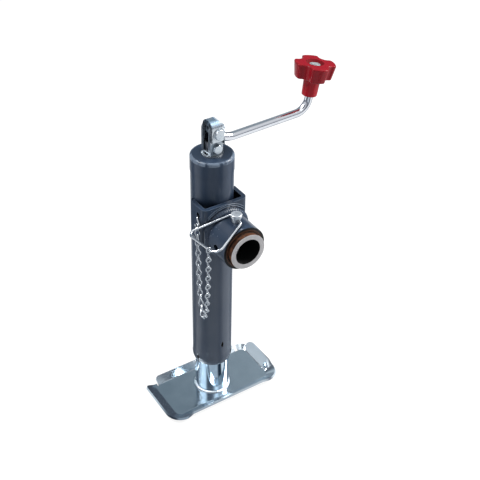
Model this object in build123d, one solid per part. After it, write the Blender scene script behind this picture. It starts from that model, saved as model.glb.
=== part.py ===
from build123d import *
from math import atan2, cos, pi, radians, sin, sqrt, tan
import os

# Top wind trailer jack with a swivel pipe mount, in millimetres.
# The origin is on the ground under the outer tube's axis, +Z is up, the crank points along +X at rest
# and the mount pipe points along -Y. The ram is wound fully up.

# Outer tube and ram
TUBE_RADIUS = 25.4
TUBE_WALL = 2.6
TUBE_LENGTH = 309.0
RAM_RADIUS = 22.2
RAM_WALL = 2.4
TRAVEL = 254.0
GROUND_CLEARANCE = 52.8
RAM_TOP_CLEARANCE = 3.0
RIM_TAPER = 1.2
RIM_TAPER_HEIGHT = 4.0
RIM_SWELL = 0.5
DIMPLE_COUNT = 3
DIMPLE_RADIUS = 5.0
DIMPLE_DEPTH = 1.0
DIMPLE_HEIGHT = 10.0
DIMPLE_START = -48.0
DENT_ANGLE = -91.0
DENT_HEIGHT = 34.0
DENT_WIDTH = 3.0
DENT_LENGTH = 6.0
DENT_DEPTH = 1.6

# Foot, a pressed tray with turned up lips
FOOT_LENGTH = 143.4
FOOT_WIDTH = 62.4
FOOT_THICKNESS = 3.0
FOOT_CORNER = 8.0
LIP_RUN = 10.2
LIP_RISE = 6.9
LEFT_LIP_RUN = 12.2
LEFT_LIP_RISE = 5.2
LEFT_LIP_SPARE = 3.8
TURN_LIP_RUN = 12.2
TURN_LIP_RISE = 7.0
SHORT_LIP_RUN = 7.0
SHORT_LIP_RISE = 5.0
TALL_LIP_RUN = 10.3
TALL_LIP_RISE = 12.0
TALL_LIP_ROUND = 9.0
LIP_BEND = 4.0
LIP_END_ROUND = 5.0
LIP_CHANGE = 9.0
FAR_LIP_START = 5.7
FAR_LIP_END = 13.7
FOOT_BEAD = 4.4

# Cap and thrust bearing
CAP_WALL = 1.1
CAP_SKIRT = 20.0
CAP_PLATE = 5.0
CAP_ROUND = 3.2
CAP_HOLE_RADIUS = 9.5
RACE_RADIUS = 19.5
RACE_THICKNESS = 3.4
ROLLER_RADIUS = 3.0
ROLLER_COUNT = 12
ROLLER_CIRCLE = 14.0
ROLLER_LENGTH = 7.0
COLLAR_RADIUS = 15.0
COLLAR_HEIGHT = 10.0
COLLAR_PIN_RADIUS = 2.5
WASHER_RADIUS = 12.6
WASHER_THICKNESS = 1.2

# Lead screw and drive nut
SCREW_RADIUS = 8.0
SCREW_SPARE = 12.0
NUT_HEIGHT = 22.0
NUT_DEPTH = 2.0
TANG_THICKNESS = 10.2
TANG_HEIGHT = 15.0

# Clevis on the screw and the folding crank
CLEVIS_PLATE = 4.8
CLEVIS_WIDTH = 16.4
CLEVIS_BASE = 3.2
PIVOT_HEIGHT = 28.8
PIVOT_RADIUS = 4.0
PIVOT_HEAD_RADIUS = 6.2
PIVOT_HEAD = 1.6
PIVOT_WASHER_RADIUS = 7.4
PIVOT_WASHER = 0.6
PIVOT_END = 3.0
CLIP_RADIUS = 6.6
CLIP_THICKNESS = 1.2
SPACER_RADIUS = 6.5
BOLT_HEIGHT = 8.8
BOLT_RADIUS = 3.0
BOLT_FLATS = 10.0
BOLT_HEAD = 4.2
BOLT_NUT = 5.0
BOLT_SPARE = 2.5
HOOD_PLATE = 4.8
HOOD_REAR = 9.4
HOOD_WEB = 3.2
HOOD_TOP = 16.3
HOOD_ROOF = 7.1
HOOD_CHEEK_DROP = 9.0
HOOD_WEB_DROP = 16.0
HOOD_CROWN_START = -1.0
HOOD_CROWN_END = 3.5
HOOD_CROWN_RADIUS = 30.0
HOOD_REAR_ROUND = 2.4
HOOD_OUTER_ROUND = 9.4
HOOD_INNER_ROUND = 1.0
HOOD_INNER_CROWN = 8.4
HOOD_FRONT_ROUND = 9.0
ROD_RADIUS = 5.0
ROD_DROP = 10.8
ROD_DIP_RUN = 22.0
ROD_DIP = 2.5
ROD_DIP_BEND = 16.0
ROD_SLOPE = 2.0
ROD_BEND = 18.0
CRANK_REACH = 127.0
GRIP_LEAN = 8.7

# Knob on the crank's grip
KNOB_GAP = 19.2
KNOB_STEM_RADIUS = 9.0
KNOB_STEM_FLARE = 1.0
KNOB_STEM = 22.0
KNOB_HEAD = 18.0
KNOB_RADIUS = 24.5
KNOB_DRAFT = 0.87
KNOB_TOP_ROUND = 1.6
KNOB_LOW_ROUND = 1.2
KNOB_LOBES = 4
KNOB_LOBE_ANGLE = -21.0
KNOB_NOTCH_RADIUS = 9.0
KNOB_NOTCH_CENTRE = 27.0
KNOB_DISH_RADIUS = 10.4
KNOB_DISH = 3.4
SPINDLE_RADIUS = 4.0
KNOB_WASHER_RADIUS = 6.2
KNOB_WASHER = 1.2

# Bracket, a folded channel that straddles the tube
BRACKET_PLATE = 4.8
BRACKET_OVER_SLEEVE = 38.0
BRACKET_ARM_HEIGHT = 46.0
BRACKET_ROUND = 7.0
BRACKET_ARM_END = 2.0
CHAIN_HOLE_RADIUS = 3.6
CHAIN_HOLE_DROP = 11.0
CHAIN_HOLE_SETBACK = 12.0
BRACKET_BEAD = 4.0

# Swivel sleeve and mount pipe
SLEEVE_HEIGHT = 217.2
SLEEVE_RADIUS = 27.3
SLEEVE_WALL = 4.5
SLEEVE_LENGTH = 39.3
SLEEVE_BEAD = 5.2
PIPE_WALL = 5.9
PIPE_CLEARANCE = 0.5
PIPE_SEAT = 1.0
PIPE_LENGTH = 46.1

# Lock pin and its wire bail
PIN_OUT = 21.8
PIN_RADIUS = 4.0
PIN_HOLE_CLEARANCE = 0.6
PIN_POINT = 10.0
PIN_POINT_TAPER = 2.5
PIN_HUB_RADIUS = 5.0
PIN_HUB = 6.6
PIN_HEAD_RADIUS = 6.6
PIN_HEAD = 3.8
BAIL_WIRE = 1.4
BAIL_HINGE_RISE = 3.4
BAIL_REACH = 49.6
BAIL_SKEW = 3.0
BAIL_ROOT_HALF = 10.2
BAIL_END_HALF = 28.2
BAIL_ROOT_BEND = 3.0
BAIL_NEAR_BEND = 9.5
BAIL_FAR_BEND = 6.5

# Chain from the bracket to the bail
CHAIN_LINKS = 18
CHAIN_PITCH = 14.0
CHAIN_WIRE = 1.7
CHAIN_WIDTH = 7.2
CHAIN_SLACK = 0.45
CHAIN_ON_BAIL = 13.5
HOOK_WIRE = 1.0
HOOK_LEAN = 5.4
HOOK_RUN = 5.4
HOOK_DROP = 7.4
HOOK_TIP = 3.6
HOOK_PLAY = 0.5
HOOK_BEND = 2.0

# Clearances
REST_GAP = 0.3
RUNNING_FIT = 0.05
TURNING_GAP = 0.2

# Levels and places that follow from the sizes above
TUBE_BOTTOM = FOOT_THICKNESS + GROUND_CLEARANCE
TUBE_TOP = TUBE_BOTTOM + TUBE_LENGTH
TUBE_BORE = TUBE_RADIUS - TUBE_WALL
RAM_BORE = RAM_RADIUS - RAM_WALL
RACE_TOP = TUBE_TOP - CAP_PLATE
ROLLER_LEVEL = RACE_TOP - RACE_THICKNESS - ROLLER_RADIUS - RUNNING_FIT
LOWER_RACE_TOP = ROLLER_LEVEL - ROLLER_RADIUS
COLLAR_TOP = LOWER_RACE_TOP - RACE_THICKNESS
COLLAR_BOTTOM = COLLAR_TOP - COLLAR_HEIGHT
RAM_TOP = COLLAR_BOTTOM - RAM_TOP_CLEARANCE
NUT_TOP = RAM_TOP - NUT_DEPTH
SCREW_BOTTOM = NUT_TOP - NUT_HEIGHT - TRAVEL - SCREW_SPARE + (RAM_TOP - NUT_TOP)
CLEVIS_BOTTOM = TUBE_TOP + WASHER_THICKNESS + TURNING_GAP
PIVOT_LEVEL = CLEVIS_BOTTOM + PIVOT_HEIGHT
BOLT_LEVEL = CLEVIS_BOTTOM + BOLT_HEIGHT
CLEVIS_INNER = TANG_THICKNESS / 2
CLEVIS_OUTER = CLEVIS_INNER + CLEVIS_PLATE
HOOD_NEAR = -CLEVIS_OUTER - TURNING_GAP - HOOD_PLATE
HOOD_FAR = HOOD_NEAR + 2 * HOOD_PLATE + TANG_THICKNESS
HOOD_MIDDLE = (HOOD_NEAR + HOOD_FAR) / 2
HOOD_WEB_START = CLEVIS_WIDTH / 2 + TURNING_GAP * 2
HOOD_FRONT = HOOD_WEB_START + HOOD_WEB
BRACKET_HALF = TUBE_RADIUS + BRACKET_PLATE
WEB_FACE = -BRACKET_HALF
SLEEVE_LEVEL = TUBE_BOTTOM + SLEEVE_HEIGHT
BRACKET_TOP_LEVEL = SLEEVE_LEVEL + BRACKET_OVER_SLEEVE
SLEEVE_BORE = SLEEVE_RADIUS - SLEEVE_WALL
PIPE_RADIUS = SLEEVE_BORE - PIPE_CLEARANCE
PIPE_START = WEB_FACE - PIPE_SEAT
PIN_PLACE = WEB_FACE - PIN_OUT
PIN_HOLE = PIN_RADIUS + PIN_HOLE_CLEARANCE
PIN_SEAT = SLEEVE_LEVEL + SLEEVE_RADIUS + REST_GAP
BAIL_LEVEL = PIN_SEAT + BAIL_HINGE_RISE

UPRIGHT = (Align.CENTER, Align.CENTER, Align.MIN)
OUTWARD = Plane.XZ


def rod(radius, bottom, top):
    """Solid cylinder on the Z axis between two levels."""
    return Pos(0, 0, bottom) * Cylinder(radius, top - bottom, align=UPRIGHT)


def ring(outer, inner, bottom, top):
    """Tube on the Z axis between two levels."""
    return rod(outer, bottom, top) - rod(inner, bottom - 1, top + 1)


def rod_y(radius, start, end, x=0.0, z=0.0):
    """Solid cylinder along Y between two places."""
    return Pos(x, max(start, end), z) * extrude(OUTWARD * Circle(radius), abs(end - start))


def ring_y(outer, inner, start, end, x=0.0, z=0.0):
    """Tube along Y between two places."""
    return rod_y(outer, start, end, x, z) - rod_y(inner, min(start, end) - 1, max(start, end) + 1, x, z)


def side_plate(outline, near, far):
    """Plate with an outline drawn in X and Z, between two places along Y."""
    return Pos(0, far, 0) * extrude(OUTWARD * outline, far - near)


def closed(*points):
    """Face inside a closed polyline."""
    return make_face(Polyline(*points, close=True))


def wire_along(path, radius):
    """Round wire swept along a path."""
    return sweep(Plane(origin=path @ 0, z_dir=path % 0) * Circle(radius), path=path)


def outer_tube():
    """Outer tube with a tapered, slightly swollen lower rim, crimp dimples, a dent and a turned down top."""
    cap_seat = TUBE_TOP - CAP_SKIRT
    swell = TUBE_RADIUS + RIM_SWELL
    profile = closed(
        (TUBE_BORE, TUBE_BOTTOM),
        (TUBE_RADIUS - RIM_TAPER, TUBE_BOTTOM),
        (TUBE_RADIUS, TUBE_BOTTOM + RIM_TAPER_HEIGHT),
        (swell, TUBE_BOTTOM + 2 * RIM_TAPER_HEIGHT),
        (TUBE_RADIUS, TUBE_BOTTOM + 4 * RIM_TAPER_HEIGHT),
        (TUBE_RADIUS, cap_seat),
        (TUBE_RADIUS + RIM_SWELL - CAP_WALL, cap_seat),
        (TUBE_RADIUS + RIM_SWELL - CAP_WALL, TUBE_TOP - CAP_PLATE),
        (TUBE_BORE, TUBE_TOP - CAP_PLATE),
    )
    body = revolve(Plane.XZ * profile, Axis.Z)
    out = TUBE_RADIUS + DIMPLE_RADIUS - DIMPLE_DEPTH
    for index in range(DIMPLE_COUNT):
        turn = radians(DIMPLE_START + index * 360 / DIMPLE_COUNT)
        place = Pos(out * cos(turn), out * sin(turn), TUBE_BOTTOM + DIMPLE_HEIGHT)
        body -= place * Sphere(DIMPLE_RADIUS)
    dent = extrude(Plane.YZ * SlotOverall(DENT_LENGTH, DENT_WIDTH, rotation=90), DIMPLE_RADIUS)
    return body - Rot(0, 0, DENT_ANGLE) * Pos(TUBE_RADIUS - DENT_DEPTH, 0, TUBE_BOTTOM + DENT_HEIGHT) * dent


def tube_cap():
    """Pressed cap over the tube's turned down end, with a round shoulder."""
    radius = TUBE_RADIUS + RIM_SWELL
    cup = rod(radius, TUBE_TOP - CAP_SKIRT, TUBE_TOP)
    cup = fillet(cup.edges().group_by(Axis.Z)[-1], CAP_ROUND)
    cup -= rod(radius - CAP_WALL, TUBE_TOP - CAP_SKIRT - 1, TUBE_TOP - CAP_PLATE)
    return cup - rod(CAP_HOLE_RADIUS, TUBE_TOP - CAP_PLATE - 1, TUBE_TOP + 1)


def cap_washer():
    """Flat washer on the cap, round the screw."""
    return ring(WASHER_RADIUS, CAP_HOLE_RADIUS, TUBE_TOP, TUBE_TOP + WASHER_THICKNESS)


def race(top):
    """Flat race of the thrust bearing."""
    return ring(RACE_RADIUS, CAP_HOLE_RADIUS, top - RACE_THICKNESS, top)


def lower_race():
    """Race that seats on the screw's collar, with a close bore."""
    return ring(RACE_RADIUS, SCREW_RADIUS, COLLAR_TOP, LOWER_RACE_TOP)


def thrust_rollers():
    """Rollers of the thrust bearing, lying between the races like spokes."""
    roller = Pos(ROLLER_CIRCLE, 0, ROLLER_LEVEL) * Rot(0, 90, 0) * Cylinder(ROLLER_RADIUS, ROLLER_LENGTH)
    return [Rot(0, 0, index * 360 / ROLLER_COUNT) * roller for index in range(ROLLER_COUNT)]


def across_screw(radius, level, half):
    """Cylinder through the screw's axis, along X."""
    return Pos(0, 0, level) * Rot(0, 90, 0) * Cylinder(radius, 2 * half)


def screw_collar():
    """Collar pinned to the screw under the bearing."""
    collar = ring(COLLAR_RADIUS, SCREW_RADIUS, COLLAR_BOTTOM, COLLAR_TOP)
    return collar - across_screw(COLLAR_PIN_RADIUS, (COLLAR_BOTTOM + COLLAR_TOP) / 2, COLLAR_RADIUS + 1)


def collar_pin():
    """Pin through the collar and the screw."""
    return across_screw(COLLAR_PIN_RADIUS, (COLLAR_BOTTOM + COLLAR_TOP) / 2, COLLAR_RADIUS - 1)


def lead_screw():
    """Screw with two flats at its top for the clevis and holes for the collar pin and the bolt."""
    tang_top = CLEVIS_BOTTOM + TANG_HEIGHT
    body = rod(SCREW_RADIUS, SCREW_BOTTOM, tang_top)
    for side in (-1, 1):
        block = Box(4 * SCREW_RADIUS, SCREW_RADIUS, TANG_HEIGHT + 1, align=UPRIGHT)
        body -= Pos(0, side * (CLEVIS_INNER + SCREW_RADIUS / 2), CLEVIS_BOTTOM) * block
    body -= across_screw(COLLAR_PIN_RADIUS, (COLLAR_BOTTOM + COLLAR_TOP) / 2, COLLAR_RADIUS)
    body -= rod_y(BOLT_RADIUS, -TANG_THICKNESS, TANG_THICKNESS, z=BOLT_LEVEL)
    return chamfer(body.edges().group_by(Axis.Z)[0], 1.0)


def drive_nut():
    """Nut fixed in the top of the ram, in mesh with the screw."""
    return ring(RAM_BORE, SCREW_RADIUS + RUNNING_FIT, NUT_TOP - NUT_HEIGHT, NUT_TOP)


def ram_tube():
    """Inner tube that carries the foot."""
    return ring(RAM_RADIUS, RAM_BORE, FOOT_THICKNESS, RAM_TOP)


def foot_weld():
    """Weld bead round the foot of the ram."""
    profile = closed(
        (RAM_RADIUS, FOOT_THICKNESS),
        (RAM_RADIUS + FOOT_BEAD, FOOT_THICKNESS),
        (RAM_RADIUS + FOOT_BEAD * 0.6, FOOT_THICKNESS + FOOT_BEAD * 0.6),
        (RAM_RADIUS, FOOT_THICKNESS + FOOT_BEAD),
    )
    return revolve(Plane.XZ * profile, Axis.Z)


def lip_section(run, rise):
    """Section of a folded lip: X points outward from the fold and Y up."""
    slope = atan2(rise, run)
    under = FOOT_THICKNESS * tan(slope / 2)
    edge = (run + FOOT_THICKNESS * sin(slope), FOOT_THICKNESS + rise - FOOT_THICKNESS * cos(slope))
    outline = closed(
        (-LIP_BEND, 0), (under, 0), edge, (run, FOOT_THICKNESS + rise), (0, FOOT_THICKNESS), (-LIP_BEND, FOOT_THICKNESS)
    )
    folds = outline.vertices().filter_by(lambda corner: -1 < corner.X < under + 1)
    inner = folds.sort_by(Axis.Y)[-1]
    outline = fillet(inner, LIP_BEND)
    outer = outline.vertices().filter_by(lambda corner: abs(corner.X - under) + abs(corner.Y) < 0.01)
    return fillet(outer, LIP_BEND + FOOT_THICKNESS)


def straight_lip(section, start, end, turn):
    """Lip along one side of the foot, at a turn about Z, between two places along the side."""
    bar = extrude(Plane.XZ * section, start - end)
    return Rot(0, 0, turn) * Pos(0, start, 0) * bar


def changing_lip(first, last, start, end, turn):
    """Lip along one side of the foot whose section changes from one to another."""
    ends = [Plane.XZ.offset(-start) * first, Plane.XZ.offset(-end) * last]
    return Rot(0, 0, turn) * loft(ends, ruled=True)


def corner_lip(section, turn):
    """Lip that runs round one corner of the foot, in a quarter turn about the corner's centre."""
    return Rot(0, 0, turn) * revolve(Plane.XZ * Pos(FOOT_CORNER, 0) * section, Axis.Z, 90)


def rounded_ends(lip, outward, radius, pick):
    """Lip with the outer corners of its ends rounded."""
    edges = lip.edges().filter_by(lambda edge: edge.length < 2 * FOOT_THICKNESS)
    return fillet(edges.filter_by(lambda edge: outward(edge.center()) and pick(edge.center())), radius)


def foot_plate():
    """Pressed foot: lips folded up on four sides, three corners with lips of their own, one notched."""
    length, width = FOOT_LENGTH / 2, FOOT_WIDTH / 2
    inner_x, inner_y = length - FOOT_CORNER, width - FOOT_CORNER
    flat = Rectangle(FOOT_LENGTH, FOOT_WIDTH)
    body = extrude(fillet(flat.vertices(), FOOT_CORNER), FOOT_THICKNESS)
    low = lip_section(LIP_RUN, LIP_RISE)
    side = lip_section(LEFT_LIP_RUN, LEFT_LIP_RISE)
    bend = lip_section(TURN_LIP_RUN, TURN_LIP_RISE)
    tall = lip_section(TALL_LIP_RUN, TALL_LIP_RISE)
    near = changing_lip(side, low, -inner_x, LIP_CHANGE - inner_x, -90)
    near += straight_lip(low, LIP_CHANGE - inner_x, inner_x - LIP_CHANGE, -90)
    near += changing_lip(low, bend, inner_x - LIP_CHANGE, inner_x, -90)
    left = straight_lip(side, -width - LEFT_LIP_SPARE, inner_y, 180)
    left = rounded_ends(left, lambda at: at.X < -LEFT_LIP_RUN * 0.9, LIP_END_ROUND, lambda at: at.Y > width)
    far = straight_lip(low, FAR_LIP_END - length, length - FAR_LIP_START, 90)
    far = rounded_ends(far, lambda at: at.Y > LIP_RUN * 0.9, LIP_END_ROUND, lambda at: True)
    right = straight_lip(tall, LIP_CHANGE - inner_y, width, 0)
    right = rounded_ends(right, lambda at: at.X > TALL_LIP_RUN * 0.9, TALL_LIP_ROUND, lambda at: at.Y > inner_y)
    right += changing_lip(bend, tall, -inner_y, LIP_CHANGE - inner_y, 0)
    body += Pos(0, -width, 0) * near + Pos(-length, 0, 0) * left
    body += Pos(0, width, 0) * far + Pos(length, 0, 0) * right
    body += Pos(-inner_x, -inner_y, 0) * corner_lip(side, 180)
    body += Pos(inner_x, -inner_y, 0) * corner_lip(bend, 270)
    short = lip_section(SHORT_LIP_RUN, SHORT_LIP_RISE)
    return body + Pos(inner_x, inner_y, 0) * corner_lip(short, 0)


def bracket_outline(inset):
    """Bracket's channel seen from above, moved in by an inset."""
    half = BRACKET_HALF - inset
    outline = make_face(
        Polyline(
            (-half, -BRACKET_ARM_END), (-half, -half), (half, -half), (half, -BRACKET_ARM_END), close=True
        )
    )
    corners = outline.vertices().group_by(Axis.Y)[0]
    return fillet(corners, BRACKET_ROUND - inset)


def chain_hole_place():
    """Centre of the chain's hole in the bracket's -X arm."""
    return (-BRACKET_HALF, WEB_FACE + CHAIN_HOLE_SETBACK, BRACKET_TOP_LEVEL - CHAIN_HOLE_DROP)


def swivel_bracket():
    """Folded channel with a web that ends in a half round below the sleeve."""
    top = BRACKET_TOP_LEVEL
    depth = top - SLEEVE_LEVEL + BRACKET_HALF
    start = Pos(0, 0, top - depth)
    body = start * extrude(bracket_outline(0.0), depth)
    body -= start * Pos(0, BRACKET_PLATE, 0) * extrude(
        Pos(0, -BRACKET_PLATE) * bracket_outline(BRACKET_PLATE) + inner_mouth(), depth
    )
    keep = side_plate(web_outline(), WEB_FACE - 1, 0)
    body &= keep
    x, y, z = chain_hole_place()
    return body - Pos(x, y, z) * Rot(0, 90, 0) * Cylinder(CHAIN_HOLE_RADIUS, 4 * BRACKET_PLATE)


def inner_mouth():
    """Opening of the channel behind its arms, so that the hollow runs out to the back."""
    half = TUBE_RADIUS
    return closed((-half, -half / 2), (half, -half / 2), (half, 1), (-half, 1))


def web_outline():
    """Outline of the bracket seen from the front: square above, half round below."""
    half = BRACKET_HALF + 1
    arm = BRACKET_TOP_LEVEL - BRACKET_ARM_HEIGHT
    square = closed(
        (-half, arm), (half, arm), (half, BRACKET_TOP_LEVEL + 1), (-half, BRACKET_TOP_LEVEL + 1)
    )
    return square + Pos(0, SLEEVE_LEVEL) * Circle(BRACKET_HALF)


def bracket_welds():
    """Weld beads between the arms' ends and the tube."""
    beads = []
    low = BRACKET_TOP_LEVEL - BRACKET_ARM_HEIGHT + 1
    for side in (-1, 1):
        outline = closed(
            (side * (TUBE_RADIUS + 0.2), -BRACKET_ARM_END),
            (side * BRACKET_HALF, -BRACKET_ARM_END),
            (side * (TUBE_RADIUS + BRACKET_BEAD * 0.7), BRACKET_BEAD * 0.7 - BRACKET_ARM_END),
            (side * (TUBE_RADIUS + 0.2), BRACKET_BEAD),
        )
        beads.append(Pos(0, 0, low) * extrude(outline, BRACKET_ARM_HEIGHT - 2) - rod(TUBE_RADIUS, low - 1, TUBE_TOP))
    return beads


def cross_drill(radius, reach):
    """Upright drill through the sleeve's axis at the lock pin's place."""
    return Pos(0, PIN_PLACE, SLEEVE_LEVEL) * Cylinder(radius, 2 * reach)


def swivel_sleeve():
    """Sleeve on the web, drilled for the lock pin upright and across."""
    end = WEB_FACE - SLEEVE_LENGTH
    body = ring_y(SLEEVE_RADIUS, SLEEVE_BORE, WEB_FACE, end, z=SLEEVE_LEVEL)
    body -= cross_drill(PIN_HOLE, 2 * SLEEVE_RADIUS)
    return body - Pos(0, PIN_PLACE, SLEEVE_LEVEL) * Rot(0, 90, 0) * Cylinder(PIN_HOLE, 4 * SLEEVE_RADIUS)


def sleeve_weld():
    """Weld bead between the sleeve and the web."""
    base = Pos(0, WEB_FACE, SLEEVE_LEVEL) * Rot(90, 0, 0)
    bead = Cone(SLEEVE_RADIUS + SLEEVE_BEAD, SLEEVE_RADIUS + 0.6, SLEEVE_BEAD, align=UPRIGHT)
    bead -= Cylinder(SLEEVE_RADIUS, 4 * SLEEVE_BEAD)
    bead = base * bead
    half = BRACKET_HALF - 0.2
    return bead & (Pos(0, WEB_FACE, SLEEVE_LEVEL) * Box(2 * half, 8 * SLEEVE_BEAD, 8 * half))


def mount_pipe():
    """Pipe that is welded to a trailer's frame, turning in the sleeve."""
    end = PIPE_START - PIPE_LENGTH
    body = ring_y(PIPE_RADIUS, PIPE_RADIUS - PIPE_WALL, PIPE_START, end, z=SLEEVE_LEVEL)
    return body - cross_drill(PIN_HOLE, 2 * SLEEVE_RADIUS)


def lock_pin():
    """Pin through the sleeve and the pipe, with a drilled hub under a flat head."""
    bottom = SLEEVE_LEVEL - SLEEVE_RADIUS - PIN_POINT
    shank = chamfer(rod(PIN_RADIUS, bottom, PIN_SEAT).edges().group_by(Axis.Z)[0], PIN_POINT_TAPER, 1.6)
    hub = rod(PIN_HUB_RADIUS, PIN_SEAT, PIN_SEAT + PIN_HUB)
    head = rod(PIN_HEAD_RADIUS, PIN_SEAT + PIN_HUB, PIN_SEAT + PIN_HUB + PIN_HEAD)
    head = fillet(head.edges().group_by(Axis.Z)[-1], 0.8)
    pin = Pos(0, PIN_PLACE, 0) * (shank + hub + head)
    return pin - rod_y(BAIL_WIRE + RUNNING_FIT * 2, PIN_PLACE - 20, PIN_PLACE + 20, z=BAIL_LEVEL)


def bail_angle():
    """Angle below level, in degrees, at which the bail's wire lies on the sleeve."""
    axis_gap = BAIL_LEVEL - SLEEVE_LEVEL
    wire_gap = SLEEVE_RADIUS + BAIL_WIRE + REST_GAP
    return atan2(sqrt(axis_gap**2 - wire_gap**2), wire_gap) * 180 / pi


def on_bail(along, across):
    """Point of the bail's plane: along its legs from the hinge, and across from the pin's axis."""
    tilt = radians(bail_angle())
    return Vector(-along * cos(tilt), PIN_PLACE + across, BAIL_LEVEL - along * sin(tilt))


def on_bail_end(across):
    """Point of the bail's end wire, which lies a little askew, so that the far leg is the longer one."""
    return on_bail(BAIL_REACH + BAIL_SKEW * across / BAIL_END_HALF, across)


def pin_bail():
    """Wire bail whose two ends sit in the pin's hub."""
    route = [
        on_bail(0, -1.0),
        on_bail(0, -BAIL_ROOT_HALF),
        on_bail_end(-BAIL_END_HALF),
        on_bail_end(BAIL_END_HALF),
        on_bail(0, BAIL_ROOT_HALF),
        on_bail(0, 1.0),
    ]
    bends = [BAIL_ROOT_BEND, BAIL_NEAR_BEND, BAIL_FAR_BEND, BAIL_ROOT_BEND]
    return wire_along(FilletPolyline(*route, radius=bends), BAIL_WIRE)


def crank_clevis():
    """Clevis with two round topped ears, clamped to the screw's flats by the bolt."""
    half = CLEVIS_WIDTH / 2
    ear = closed((-half, CLEVIS_BOTTOM), (half, CLEVIS_BOTTOM), (half, PIVOT_LEVEL), (-half, PIVOT_LEVEL))
    ear += Pos(0, PIVOT_LEVEL) * Circle(half)
    body = side_plate(ear, CLEVIS_INNER, CLEVIS_OUTER) + side_plate(ear, -CLEVIS_OUTER, -CLEVIS_INNER)
    base = Box(CLEVIS_WIDTH, TANG_THICKNESS, CLEVIS_BASE, align=UPRIGHT)
    body += Pos(0, 0, CLEVIS_BOTTOM) * base
    tang = Box(4 * SCREW_RADIUS, TANG_THICKNESS, 4 * CLEVIS_BASE) & Cylinder(SCREW_RADIUS, 4 * CLEVIS_BASE)
    body -= Pos(0, 0, CLEVIS_BOTTOM) * tang
    body -= rod_y(PIVOT_RADIUS, -2 * CLEVIS_OUTER, 2 * CLEVIS_OUTER, z=PIVOT_LEVEL)
    return body - rod_y(BOLT_RADIUS, -2 * CLEVIS_OUTER, 2 * CLEVIS_OUTER, z=BOLT_LEVEL)


def hexagon_y(start, end, level):
    """Hexagon bar along Y."""
    outline = Rot(0, 0, 12) * RegularPolygon(BOLT_FLATS / 2, 6, major_radius=False)
    return Pos(0, 0, level) * side_plate(outline, start, end)


def clevis_bolt():
    """Hexagon bolt through the clevis and the screw's flats."""
    head = hexagon_y(-CLEVIS_OUTER - BOLT_HEAD, -CLEVIS_OUTER, BOLT_LEVEL)
    head = chamfer(head.edges().group_by(Axis.Y)[0], 0.6)
    end = CLEVIS_OUTER + BOLT_NUT + BOLT_SPARE
    return head + rod_y(BOLT_RADIUS, -CLEVIS_OUTER, end, z=BOLT_LEVEL)


def clevis_nut():
    """Nut on the clevis bolt."""
    nut = hexagon_y(CLEVIS_OUTER, CLEVIS_OUTER + BOLT_NUT, BOLT_LEVEL)
    return nut - rod_y(BOLT_RADIUS, CLEVIS_OUTER - 1, CLEVIS_OUTER + BOLT_NUT + 1, z=BOLT_LEVEL)


def pivot_pin():
    """Headed pin that the crank folds on."""
    seat = HOOD_NEAR - TURNING_GAP - PIVOT_WASHER
    head = rod_y(PIVOT_HEAD_RADIUS, seat - PIVOT_HEAD, seat, z=PIVOT_LEVEL)
    head = fillet(head.edges().group_by(Axis.Y)[0], 0.9)
    end = CLEVIS_OUTER + CLIP_THICKNESS + PIVOT_END
    return head + rod_y(PIVOT_RADIUS, seat, end, z=PIVOT_LEVEL)


def pivot_washer():
    """Washer under the pivot pin's head."""
    seat = HOOD_NEAR - TURNING_GAP
    return ring_y(PIVOT_WASHER_RADIUS, PIVOT_RADIUS, seat - PIVOT_WASHER, seat, z=PIVOT_LEVEL)


def pivot_clip():
    """Open retaining ring on the pivot pin's far end."""
    far = CLEVIS_OUTER + CLIP_THICKNESS
    clip = ring_y(CLIP_RADIUS, PIVOT_RADIUS, CLEVIS_OUTER, far, z=PIVOT_LEVEL)
    mouth = Box(PIVOT_RADIUS * 1.3, 8 * CLIP_THICKNESS, CLIP_RADIUS, align=(Align.CENTER, Align.CENTER, Align.MIN))
    return clip - Pos(0, far, PIVOT_LEVEL + PIVOT_RADIUS * 0.6) * mouth


def pivot_spacer():
    """Spacer on the pivot pin between the near ear and the crank's far cheek."""
    near = -CLEVIS_INNER
    far = HOOD_FAR - HOOD_PLATE - TURNING_GAP
    return ring_y(SPACER_RADIUS, PIVOT_RADIUS, near, far, z=PIVOT_LEVEL)


def hood_side():
    """Outline of the hood from the side, in X and Z, with a round crown towards the rod."""
    cheek = PIVOT_LEVEL - HOOD_CHEEK_DROP
    low = PIVOT_LEVEL - HOOD_WEB_DROP
    top = PIVOT_LEVEL + HOOD_TOP
    crown_start = (HOOD_CROWN_START, top)
    crown_end = (HOOD_FRONT, PIVOT_LEVEL + HOOD_CROWN_END)
    rest = Polyline(
        crown_end,
        (HOOD_FRONT, low),
        (HOOD_WEB_START, low),
        (HOOD_WEB_START, cheek),
        (-HOOD_REAR, cheek),
        (-HOOD_REAR, top),
        crown_start,
    )
    outline = make_face(rest + RadiusArc(crown_start, crown_end, HOOD_CROWN_RADIUS))
    rear = outline.vertices().group_by(Axis.Y)[-1].sort_by(Axis.X)[0]
    return fillet(rear, HOOD_REAR_ROUND)


def hood_hollow():
    """Hollow under the hood: the arch less its plate, rounded at the front to follow the crown."""
    low = PIVOT_LEVEL - 2 * HOOD_WEB_DROP
    top = PIVOT_LEVEL + HOOD_TOP - HOOD_ROOF
    back = -2 * HOOD_REAR
    outline = closed((back, low), (HOOD_WEB_START, low), (HOOD_WEB_START, top), (back, top))
    front = outline.vertices().group_by(Axis.Y)[-1].sort_by(Axis.X)[-1]
    side = side_plate(fillet(front, HOOD_INNER_CROWN), HOOD_NEAR, HOOD_FAR)
    return side & along_x(hood_end(HOOD_PLATE, HOOD_ROOF, HOOD_INNER_ROUND), back, HOOD_WEB_START)


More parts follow.
